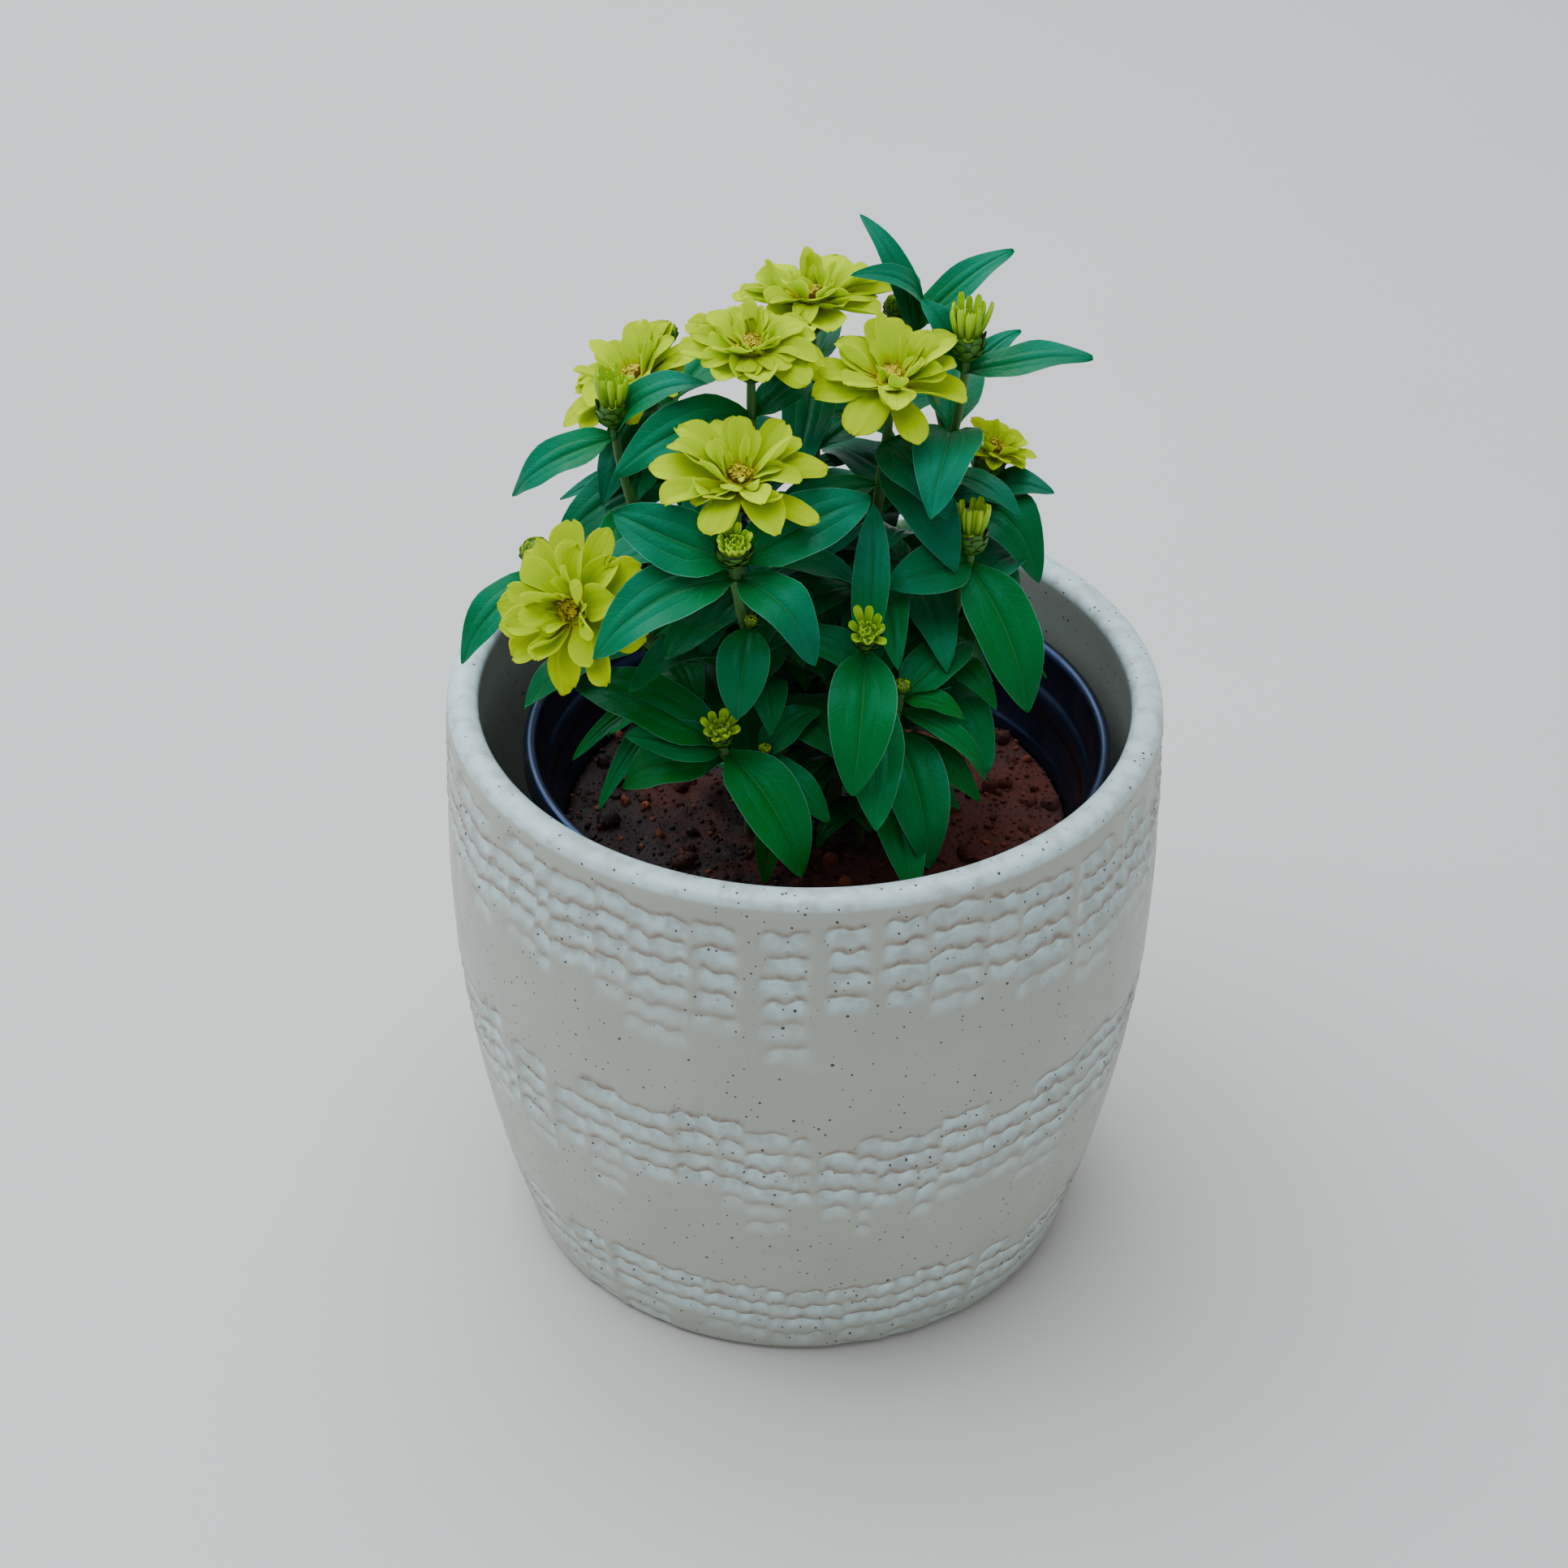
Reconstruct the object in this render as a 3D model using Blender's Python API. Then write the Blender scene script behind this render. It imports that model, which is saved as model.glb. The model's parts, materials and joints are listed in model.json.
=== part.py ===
"""Potted zinnia: a bushy double yellow zinnia in a black nursery pot, inside a glazed cover pot.

Metres, +Z up, with the origin in the middle of the cover pot's underside. The tables below are
in millimetres, and MM turns them to metres where a mesh is made. -Y is the front.
"""

import math
import random
from collections import namedtuple

import bmesh
import bpy
from mathutils import Quaternion, Vector
from mathutils.bvhtree import BVHTree

MM = 0.001
UP = Vector((0.0, 0.0, 1.0))
GAP = 0.3

# Cover pot
POT_HEIGHT = 214.0
POT_RADIUS = 120.0
POT_BELLY_RADIUS = 121.3
POT_BELLY_HEIGHT = 154.0
POT_FOOT_RADIUS = 96.7
POT_FOOT_ROUND = 4.0
POT_WALL = 10.5
POT_FLOOR = 12.0
POT_SIDES = 32
PAD_HEIGHT = 0.9
PAD_BANDS = ((4.0, 38.0), (73.0, 118.0), (164.0, 202.0))
PAD_ROWS = 3
PLAIN_HEIGHTS = (55.0, 141.0)
INSIDE_HEIGHTS = (150.0, 75.0, 30.0)

# Nursery pot, set a little to one side
NURSERY_SHIFT = 4.5
NURSERY_HEIGHT = 181.5
NURSERY_RIM_RADIUS = 99.5
NURSERY_FOOT_RADIUS = 74.0
NURSERY_WALL = 1.6
NURSERY_RIM_DROP = 9.0
NURSERY_SIDES = 24
DRAIN_HOLES = 4
DRAIN_RADIUS = 5.0

# Soil
SOIL_TOP = 158.0
SOIL_ROUGHNESS = 1.6
STEM_DEPTH = 24.0
HOLE_SIDES = 6

# Plant
STEM_SIDES = 5
STEM_FOOT_RADIUS = 2.0
STEM_TOP_RADIUS = 1.4
STEM_STEPS = 4
LEAF_THICK = 1.2
PETAL_THICK = 1.2
LEAF_FOLD = 0.16
PAIR_SPACING = 29.0
LEAF_LENGTH = 52.0
LEAF_WIDTH = 20.5
LOWEST_PAIR = 14.0
FRONT = Vector((0.0, -1.0, 0.0))
TOWARDS_FRONT = Vector((0.0, -0.81, 0.59))
OUTWARD_LEAN = 0.2
BLOOM_CORE = 5.4
SMALL_BLOOM_CORE = 4.4
DISC_RISE = 2.8

# A leaf by hand: how far below the head it leaves its shoot, its tip, its width, its arch, and how
# far its upper face leans to the front.
Leaf = namedtuple("Leaf", "below tip width arch lean", defaults=(0.16, 0.3))

# A shoot: its name, the node that it belongs to, where it starts, its head's middle, the way the
# head faces, what the head is, the head's size, its leaves by hand, and how many pairs follow the
# rule below them, with the first pair's distance below the head and its turn in degrees. It starts
# in the soil at (x, y), or on an earlier shoot at (name, distance below that shoot's head).
Shoot = namedtuple("Shoot", "name node start head facing kind size leaves pairs first turn")

SHOOTS = (
    Shoot("back", "leafy_stem_01", (3, 13), (0, 44, 336), (-0.05, 0.1, 1), "bloom", 28.5, (), 3, 17, 100),
    Shoot("top", "leafy_stem_02", (-3, 3), (-19, 2, 341), (0, -0.04, 1), "bloom", 24.5, (
        Leaf(13, (-61, -25, 313), 19, 0.16, 0.5),
        Leaf(13, (6, 12, 325), 15, 0.26),
    ), 3, 38, 75),
    Shoot("crown", "leafy_stem_03", (11, 1), (26, 6, 328), (0.03, -0.17, 1), "bloom", 29.5, (
        Leaf(12, (45, -20, 294), 20, 0.2, 0.4),
        Leaf(20, (48, -22, 275), 19, 0.14, 0.5),
        Leaf(58, (29, -47, 254), 16, 0.16, 0.6),
    ), 3, 32, 195),
    Shoot("left", "leafy_stem_04", (-14, 9), (-57, 25, 316), (-0.5, 0.05, 0.87), "bloom", 27.5, (
        Leaf(24, (-82, 15, 277), 9, 0.1),
        Leaf(26, (-84, 5, 262), 20, 0.26, 0.4),
    ), 3, 46, 60),
    Shoot("left_back_bud", "leafy_stem_04", ("left", 60), (-49, 50, 318), (-0.1, 0.1, 1), "closed", 5.0, (
    ), 1, 20, 70),
    Shoot("left_bud", "leafy_stem_05", (-16, 0), (-63, 0, 317), (-0.06, 0, 1), "opening", 5.2, (
        Leaf(3, (-97, -5, 291), 16, 0.1),
        Leaf(3, (-34, 10, 322), 16, 0.12),
    ), 3, 32, 95),
    Shoot("middle", "leafy_stem_06", (-4, -8), (-22, -38, 317), (0.05, -0.18, 0.98), "bloom", 31, (
    ), 3, 26, 5),
    Shoot("middle_bud", "leafy_stem_07", (-2, -16), (-23, -64, 307), (0, -0.35, 0.94), "young", 5.4, (
        Leaf(1, (-61, -52, 314), 21, 0.12, 1.0),
        Leaf(1, (20, -42, 316), 21, 0.1, 0.8),
        Leaf(9, (3, -82, 279), 18, 0.2),
        Leaf(9, (-67, -78, 277), 22, 0.16, 0.4),
    ), 2, 58, 40),
    Shoot("middle_tiny", "leafy_stem_07", ("middle_bud", 42), (-18, -56, 276), (0.1, -0.4, 0.9),
          "closed", 2.2, (
        Leaf(1, (-22, -74, 251), 17, 0.22),
    ), 0, 0, 0),
    Shoot("low_left", "leafy_stem_08", (-18, -9), (-74, -52, 277), (-0.52, -0.68, 0.5), "bloom", 30, (
        Leaf(64, (-67, -58, 204), 9, 0.2),
        Leaf(58, (-76, -45, 214), 8, 0.15),
    ), 1, 34, 50),
    Shoot("far_left_bud", "leafy_stem_08", ("low_left", 45), (-88, -15, 274), (-0.2, 0, 1), "closed", 5.0, (
        Leaf(4, (-112, -40, 249), 16, 0.16, 0.1),
        Leaf(20, (-62, 6, 248), 15, 0.16),
    ), 0, 0, 0),
    Shoot("right", "leafy_stem_09", (21, 11), (61, 30, 287), (0.35, 0.0, 0.94), "small bloom", 15, (
        Leaf(6, (80, 14, 283), 13, 0.12),
        Leaf(11, (77, 2, 256), 22, 0.42),
    ), 3, 34, 70),
    Shoot("top_bud", "leafy_stem_10", (15, 19), (50, 15, 335), (0.02, 0, 1), "opening", 5.6, (
        Leaf(4, (90, 10, 336), 15, 0.06, 0.2),
        Leaf(4, (37, 22, 349), 12, 0.08),
        Leaf(5, (68, 30, 334), 8, 0.06),
    ), 3, 30, 80),
    Shoot("back_bud", "leafy_stem_10", ("top_bud", 40), (29, 46, 332), (-0.35, 0.05, 0.93), "closed", 5.0, (
        Leaf(4, (66, 60, 347), 13, 0.1),
        Leaf(5, (14, 30, 354), 14, 0.3),
        Leaf(8, (16, 58, 360), 10, 0.12),
    ), 0, 0, 0),
    Shoot("right_bud", "leafy_stem_11", (20, -3), (53, -10, 277), (0.05, 0.05, 1), "opening", 5.0, (
        Leaf(3, (73, -40, 232), 22, 0.12, 0.5),
        Leaf(2, (26, -28, 272), 18, 0.12, 0.9),
        Leaf(12, (73, 10, 262), 17, 0.14),
    ), 2, 32, 60),
    Shoot("front_bud", "leafy_stem_12", (9, -14), (19, -55, 270), (0.02, -0.5, 0.87), "young", 4.6, (
        Leaf(5, (15, -88, 233), 22, 0.16, 0.4),
        Leaf(7, (21, -14, 294), 12, 0.14),
        Leaf(16, (-6, -40, 262), 15, 0.14),
    ), 2, 38, 100),
    Shoot("low_bud", "leafy_stem_13", (-9, -22), (-27, -66, 239), (-0.05, -0.4, 0.9), "young", 4.4, (
        Leaf(3, (-76, -46, 247), 21, 0.12, 0.4),
        Leaf(6, (-57, -66, 239), 14, 0.08, 0.7),
        Leaf(8, (0, -88, 200), 22, 0.16, 0.4),
        Leaf(13, (-60, -56, 212), 18, 0.22, 0.5),
    ), 0, 0, 0),
    Shoot("low_tiny", "leafy_stem_13", ("low_bud", 26), (-13, -61, 230), (0.1, -0.3, 0.95), "closed", 2.2, (
        Leaf(2, (8, -76, 213), 12, 0.14, 0.4),
        Leaf(1, (4, -50, 240), 13, 0.1),
    ), 0, 0, 0),
    Shoot("low_right", "leafy_stem_14", (19, -15), (31, -42, 242), (0.05, -0.2, 0.97), "closed", 2.8, (
        Leaf(2, (54, -12, 241), 17, 0.14),
        Leaf(3, (52, -44, 232), 9, 0.14),
        Leaf(9, (60, -52, 213), 9, 0.2),
        Leaf(20, (41, -72, 192), 21, 0.2, 0.4),
        Leaf(24, (58, -48, 202), 12, 0.14),
    ), 1, 40, 100),
)

# Each material's linear colour and roughness
MATERIALS = {
    "stoneware_glaze": ((0.52, 0.52, 0.46), 0.38),
    "nursery_plastic": ((0.012, 0.014, 0.02), 0.45),
    "laterite_soil": ((0.10, 0.035, 0.022), 0.95),
    "zinnia_leaf": ((0.012, 0.13, 0.035), 0.5),
    "zinnia_petal": ((0.6, 0.7, 0.005), 0.5),
    "zinnia_disc": ((0.35, 0.16, 0.01), 0.7),
}


def clear_scene():
    for obj in list(bpy.data.objects):
        bpy.data.objects.remove(obj)


def make_material(name):
    colour, roughness = MATERIALS[name]
    material = bpy.data.materials.new(name)
    material.use_nodes = True
    shader = material.node_tree.nodes["Principled BSDF"]
    shader.inputs["Base Color"].default_value = (*colour, 1.0)
    shader.inputs["Roughness"].default_value = roughness
    return material


def make_object(name, verts, faces, material=None):
    """One object from points in millimetres."""
    mesh = bpy.data.meshes.new(name)
    mesh.from_pydata([MM * v for v in verts], [], faces)
    if material:
        mesh.materials.append(bpy.data.materials[material])
    obj = bpy.data.objects.new(name, mesh)
    bpy.context.scene.collection.objects.link(obj)
    return obj


def frame_along(direction):
    """A rotation that turns +Z to the direction."""
    return direction.normalized().to_track_quat("Z", "Y")


def turned(profile, sides, centre=Vector(), facing=UP, swell=None):
    """A closed solid turned about an axis. The profile runs from the axis below, up the outside."""
    turn = frame_along(facing)
    verts = []
    rings = []
    for row, (radius, height) in enumerate(profile):
        ring = []
        for k in range(1 if radius == 0 else sides):
            angle = math.tau * k / sides
            reach = radius + (swell(row, k, height) if swell and radius else 0.0)
            ring.append(len(verts))
            spot = Vector((reach * math.cos(angle), reach * math.sin(angle), height))
            verts.append(centre + turn @ spot)
        rings.append(ring * (sides if radius == 0 else 1))
    faces = []
    for low, high in zip(rings, rings[1:]):
        for k in range(sides):
            after = (k + 1) % sides
            corners = (low[k], low[after], high[after], high[k])
            faces.append(tuple(dict.fromkeys(corners)))
    return verts, faces


def tube(line, radii, sides):
    """A closed tube along a line of points."""
    verts = []
    faces = []
    count = len(line)
    across = line[1] - line[0]
    normal = across.orthogonal().normalized()
    for i, (spot, radius) in enumerate(zip(line, radii)):
        ahead = (line[min(i + 1, count - 1)] - line[max(i - 1, 0)]).normalized()
        normal = (normal - normal.dot(ahead) * ahead).normalized()
        side = ahead.cross(normal)
        for k in range(sides):
            angle = math.tau * k / sides
            verts.append(spot + radius * (math.cos(angle) * normal + math.sin(angle) * side))
    for i in range(count - 1):
        for k in range(sides):
            after = (k + 1) % sides
            low = i * sides
            faces.append((low + k, low + after, low + sides + after, low + sides + k))
    faces.append(tuple(range(sides - 1, -1, -1)))
    faces.append(tuple(range((count - 1) * sides, count * sides)))
    return verts, faces


def blade(line, halves, normal, thick, fold, twist=0.0, fat=0.0):
    """A closed thin blade. Each ring holds the right edge, the ridge, the left edge and the keel.

    Both faces are split into triangles alike, so a waved blade doesn't cross itself.
    """
    verts = []
    faces = []
    count = len(line)
    rings = []
    for i, (spot, half) in enumerate(zip(line, halves)):
        ahead = (line[min(i + 1, count - 1)] - line[max(i - 1, 0)]).normalized()
        face_up = (normal - normal.dot(ahead) * ahead).normalized()
        face_up = Quaternion(ahead, twist * i / (count - 1)) @ face_up
        side = ahead.cross(face_up)
        lift = fold * half
        half += fat
        body = thick / 2 + fat
        start = len(verts)
        if half - fat <= 0:
            verts.append(spot + fat * ahead)
            rings.append((start,) * 4)
            continue
        verts.append(spot + half * side + lift * face_up)
        verts.append(spot + body * face_up)
        verts.append(spot - half * side + lift * face_up)
        verts.append(spot - body * face_up)
        rings.append((start, start + 1, start + 2, start + 3))
    right, ridge, left, keel = rings[0]
    faces += [(right, ridge, keel), (ridge, left, keel)]
    for low, high in zip(rings, rings[1:]):
        for edge, middle, flip in ((0, 1, False), (2, 1, True), (2, 3, False), (0, 3, True)):
            first = (low[edge], high[edge], high[middle])
            second = (low[edge], high[middle], low[middle])
            for corners in (first, second):
                corners = tuple(dict.fromkeys(corners))
                if len(corners) == 3:
                    faces.append(corners[::-1] if flip else corners)
    right, ridge, left, keel = rings[-1]
    if right != ridge:
        faces += [(right, keel, ridge), (ridge, keel, left)]
    return verts, faces


def arched_line(root, tip, normal, arch, stops):
    """Points on a plain arch from root to tip, which bulges towards the normal."""
    chord = tip - root
    control = root + 0.5 * chord + 2 * arch * chord.length * normal
    line = []
    for t in stops:
        line.append((1 - t) ** 2 * root + 2 * t * (1 - t) * control + t * t * tip)
    return line


def upper_side(chord, up, fallback):
    """The way a blade's upper face looks: as near up as its chord lets it."""
    ahead = chord.normalized()
    normal = up - up.dot(ahead) * ahead
    if normal.length < 0.2:
        normal = fallback - fallback.dot(ahead) * ahead
    return normal.normalized()


LEAF_STOPS = (0.0, 0.2, 0.5, 0.8, 1.0)
INNER_LEAF_STOPS = (0.0, 0.3, 0.7, 1.0)
PETAL_STOPS = (0.0, 0.68, 1.0)
PETAL_HALVES = (0.26, 1.0, 0.55)


def leaf_half(t):
    """Half width of a zinnia leaf along its length: lance-shaped, broadest below the middle."""
    s = t**0.8
    return (4 * s * (1 - s)) ** 0.8


def leaf_blade(root, tip, width, arch, lean, fat=0.0, stops=LEAF_STOPS):
    """A leaf whose upper face looks as near to the lean as its chord lets it."""
    normal = upper_side(tip - root, lean, TOWARDS_FRONT)
    line = arched_line(root, tip, normal, arch, stops)
    halves = [width / 2 * leaf_half(t) for t in stops]
    halves[0] = STEM_TOP_RADIUS * 0.7
    return blade(line, halves, normal, LEAF_THICK, LEAF_FOLD, fat=fat)


def petal_blade(root, tip, width, arch, up, fold, twist, fat=0.0):
    normal = upper_side(tip - root, up, (root - tip))
    line = arched_line(root, tip, normal, arch, PETAL_STOPS)
    halves = [width / 2 * share for share in PETAL_HALVES]
    return blade(line, halves, normal, PETAL_THICK, fold, twist, fat)


# What has grown so far: the node, its tree of triangles, and its box
grown = []
pieces = {}


def box_of(verts):
    low = Vector(min(v[i] for v in verts) for i in range(3))
    high = Vector(max(v[i] for v in verts) for i in range(3))
    return low, high


def is_clear(node, verts, faces):
    """True where the shape touches nothing of another node."""
    low, high = box_of(verts)
    tree = None
    for owner, other, other_low, other_high in grown:
        if owner == node:
            continue
        if any(low[i] > other_high[i] or high[i] < other_low[i] for i in range(3)):
            continue
        tree = tree or BVHTree.FromPolygons(verts, faces)
        if tree.overlap(other):
            return False
    return True


def grow(node, shape):
    """Adds a shape to its node."""
    verts, faces = shape
    grown.append((node, BVHTree.FromPolygons(verts, faces), *box_of(verts)))
    pieces.setdefault(node, []).append(shape)


def grow_clear(node, make, bends):
    """Adds the first bend of a shape that is clear of every other node, or none."""
    for bend in bends:
        if is_clear(node, *make(bend, GAP)):
            grow(node, make(bend, 0.0))
            return bend
    return None


class Line:
    """A shoot's own centre line, with distances measured down from its head."""

    def __init__(self, points):
        self.points = points
        self.reach = [0.0]
        for a, b in zip(points, points[1:]):
            self.reach.append(self.reach[-1] + (b - a).length)

    def at(self, below):
        wanted = max(self.reach[-1] - below, 0.0)
        for i in range(len(self.points) - 1):
            if self.reach[i + 1] >= wanted:
                share = (wanted - self.reach[i]) / (self.reach[i + 1] - self.reach[i])
                ahead = self.points[i + 1] - self.points[i]
                return self.points[i] + share * ahead, ahead.normalized()
        return self.points[-1], (self.points[-1] - self.points[-2]).normalized()


# Each kind of cup as radius and height, from its stem up
CUP = {
    "bloom": ((0, 0), (2.2, 0), (5.9, 5.0), (5.6, 8.0), (0, 8.0)),
    "small bloom": ((0, 0), (2.0, 0), (5.2, 4.4), (4.9, 7.0), (0, 7.0)),
    "opening": ((0, 0), (2.2, 0), (4.6, 2.2), (5.6, 5.0), (5.0, 8.0), (0, 8.0)),
    "young": ((0, 0), (2.2, 0), (4.6, 1.8), (5.6, 4.0), (5.2, 6.0), (0, 6.0)),
    "closed": ((0, 0), (2.2, 0), (4.6, 2.0), (5.6, 4.6), (4.6, 7.4), (2.4, 9.0), (0, 9.4)),
}
CUP_SIDES = 7
CUP_RADIUS = 5.6
SCALE_RELIEF = 0.35
BLOOM_DROP = 3.6

# Each layer of petals, from the outside in: how many, their share of the bloom's radius, how far
# they rise in degrees, their width, and how far above the head's middle they start
Layer = namedtuple("Layer", "count share rise width height")
LAYERS = {
    "bloom": (
        Layer(9, 1.0, 6, 13.0, -2.2),
        Layer(6, 0.8, 28, 12.0, -0.6),
        Layer(3, 0.52, 58, 8.0, 0.4),
    ),
    "small bloom": (
        Layer(8, 1.0, 22, 7.5, -1.0),
        Layer(4, 0.75, 50, 6.5, 0.2),
    ),
}

# Each ring of a bud's petal tips: how many, their share of the cup's radius, length and flare
Tips = namedtuple("Tips", "count radius length flare")
BUD_TIPS = {
    "opening": (Tips(7, 0.6, 11.5, 14), Tips(2, 0.25, 12.0, 6)),
    "young": (Tips(7, 0.6, 6.0, 30), Tips(2, 0.28, 5.0, 8)),
}

# What a blade tries in turn until it is clear of the other nodes: a petal's extra rise in degrees,
# a drawn leaf's shift towards the front and extra arch, and a ruled leaf's swing and pitch in
# degrees and share of its length
PETAL_BENDS = (0, 7, -7, 14, -14, 22, -22, 32, 44, 56)
DRAWN_BENDS = [
    (shift, arch)
    for shift in (0, 3, -3, 6, -6, 10, -10, 15, -15, 21)
    for arch in (0, 0.06, -0.06, 0.13)
]
RULED_BENDS = [
    (swing, pitch, share)
    for share in (1.0, 0.82, 0.66)
    for pitch in (0, -14, 14, -28, 28, 42)
    for swing in (0, 14, -14, 28, -28)
]


def cup_shape(shoot):
    """The head's green cup of overlapping bracts, its scales as relief."""
    facing = Vector(shoot.facing).normalized()
    size = 1.0 if "bloom" in shoot.kind else shoot.size / CUP_RADIUS
    profile = [(size * r, size * h) for r, h in CUP[shoot.kind]]
    height = size * (8.0 if shoot.kind == "bloom" else 7.0)
    drop = height + BLOOM_DROP if "bloom" in shoot.kind else size * 4.0
    foot = Vector(shoot.head) - drop * facing

    def scales(row, k, _):
        if not 1 < row < len(profile) - 1:
            return 0.0
        return size * SCALE_RELIEF * (1 if (row + k) % 2 else -1)

    return foot, turned(profile, CUP_SIDES, foot, facing, scales), foot + profile[-1][1] * facing


def shoot_line(shoot, lines, foot):
    """The stem: upright out of the soil, or leaving its parent, then bending to face as its head."""
    facing = Vector(shoot.facing).normalized()
    if isinstance(shoot.start[0], str):
        parent, below = shoot.start
        start, ahead = lines[parent].at(below)
        low = [start]
    else:
        start = Vector((*shoot.start, SOIL_TOP + 4.0))
        ahead = UP
        low = [Vector((*shoot.start, SOIL_TOP - STEM_DEPTH)), start]
    span = (foot - start).length
    first = start + 0.34 * span * (ahead + 0.5 * (foot - start).normalized()).normalized()
    second = foot - 0.3 * span * facing
    points = low
    for i in range(1, STEM_STEPS + 1):
        t = i / STEM_STEPS
        points.append(
            (1 - t) ** 3 * start
            + 3 * t * (1 - t) ** 2 * first
            + 3 * t * t * (1 - t) * second
            + t**3 * foot
        )
    points.append(foot + 1.5 * facing)
    return Line(points)


def add_stems(lines, tops):
    for shoot in SHOOTS:
        foot, cup, top = cup_shape(shoot)
        line = shoot_line(shoot, lines, foot)
        count = len(line.points)
        thin = STEM_TOP_RADIUS * min(1.0, max(0.6, shoot.size / CUP_RADIUS))
        thick = STEM_FOOT_RADIUS if not isinstance(shoot.start[0], str) else STEM_TOP_RADIUS
        radii = [thick + (thin - thick) * i / (count - 1) for i in range(count)]
        lines[shoot.name] = line
        tops[shoot.name] = top
        grow(shoot.node, tube(line.points, radii, STEM_SIDES))
        grow(shoot.node, cup)


def add_bloom(shoot, number):
    """A receptacle with petals in layers, and the disc on it."""
    rng = random.Random(100 + number)
    facing = Vector(shoot.facing).normalized()
    turn = frame_along(facing)
    centre = Vector(shoot.head)
    node = f"bloom_{number}"
    core = SMALL_BLOOM_CORE if shoot.kind == "small bloom" else BLOOM_CORE
    low = GAP - BLOOM_DROP
    profile = ((0, low), (core, low), (core, 1.4), (0, 1.4))
    disc = core - 2.0
    tops = ((0, 0), (disc, 0), (disc, 1.6), (0.62 * disc, DISC_RISE - 0.6), (0, DISC_RISE))

    def florets(row, k, _):
        return 0.3 if (row + k) % 2 and row > 1 else 0.0

    grow(f"disc_{number}", turned(tops, 8, centre + (1.4 + GAP) * facing, facing, florets))
    grow(node, turned(profile, 6, centre, facing))
    for layer, (count, share, rise, width, height) in enumerate(LAYERS[shoot.kind]):
        for k in range(count):
            angle = math.tau * (k + 0.5 * layer + rng.uniform(-0.16, 0.16)) / count
            reach = shoot.size * share * rng.uniform(0.9, 1.03)
            lift = rise + rng.uniform(-8, 8)
            wide = width * rng.uniform(0.88, 1.1)
            twist = math.radians(rng.uniform(-16, 16))
            arch = rng.uniform(0.02, 0.13)

            def make(bend, fat):
                tilt = math.radians(lift + bend)
                out = turn @ Vector((math.cos(angle), math.sin(angle), 0.0))
                root = centre + (core - 2.2) * out + height * facing
                tip = centre + core * out + height * facing
                tip += (reach - core) * (math.cos(tilt) * out + math.sin(tilt) * facing)
                return petal_blade(root, tip, wide, arch, facing, 0.12, twist, fat)

            grow_clear(node, make, PETAL_BENDS)


def add_bud_tips(shoot, top, node):
    """The young petals that stand out of an opening bud, on their common base."""
    facing = Vector(shoot.facing).normalized()
    turn = frame_along(facing)
    size = shoot.size
    base = ((0, GAP), (0.74 * size, GAP), (0.74 * size, 1.8), (0, 2.8))
    grow(node, turned(base, 6, top, facing))
    rng = random.Random(sum(map(ord, shoot.name)))
    for count, radius, length, flare in BUD_TIPS[shoot.kind]:
        for k in range(count):
            angle = math.tau * (k + rng.uniform(-0.2, 0.2)) / count
            out = turn @ Vector((math.cos(angle), math.sin(angle), 0.0))
            lean = math.radians(flare + rng.uniform(-6, 6))
            along = math.cos(lean) * facing + math.sin(lean) * out
            root = top + (GAP + 0.4) * facing + radius * size * out
            tip = root + length * size / CUP_RADIUS * rng.uniform(0.85, 1.1) * along
            grow(node, tube([root, tip], (0.8, 1.2), 3))


def add_hand_leaves(lines):
    for shoot in SHOOTS:
        for leaf in shoot.leaves:
            root, ahead = lines[shoot.name].at(leaf.below + 2.5)
            lean = UP + leaf.lean * FRONT

            def make(bend, fat):
                shift, arch = bend
                tip = Vector(leaf.tip) + shift * TOWARDS_FRONT
                return leaf_blade(root, tip, leaf.width, leaf.arch + arch, lean, fat)

            grow_clear(shoot.node, make, DRAWN_BENDS)


def add_ruled_leaves(lines):
    """Pairs of leaves further down, each pair turned a quarter from the one above it."""
    rng = random.Random(7)
    for shoot in SHOOTS:
        for pair in range(shoot.pairs):
            below = shoot.first + pair * PAIR_SPACING * rng.uniform(0.9, 1.1)
            root, ahead = lines[shoot.name].at(below)
            if root.z < SOIL_TOP + LOWEST_PAIR:
                continue
            for half in range(2):
                azimuth = shoot.turn + 90 * pair + 180 * half + rng.uniform(-18, 18)
                length = LEAF_LENGTH * rng.uniform(0.84, 1.08)
                width = LEAF_WIDTH * rng.uniform(0.85, 1.1)
                lift = rng.uniform(-22, 12)
                arch = rng.uniform(0.1, 0.2)

                def make(bend, fat):
                    swing, pitch, share = bend
                    turn = math.radians(azimuth + swing)
                    tilt = math.radians(lift + pitch)
                    out = Vector((math.cos(turn), math.sin(turn), 0.0))
                    tip = root + share * length * (math.cos(tilt) * out + math.sin(tilt) * UP)
                    wide = width * (0.4 + 0.6 * share)
                    lean = UP + OUTWARD_LEAN * out
                    return leaf_blade(root, tip, wide, arch, lean, fat, INNER_LEAF_STOPS)

                grow_clear(shoot.node, make, RULED_BENDS)


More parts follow.
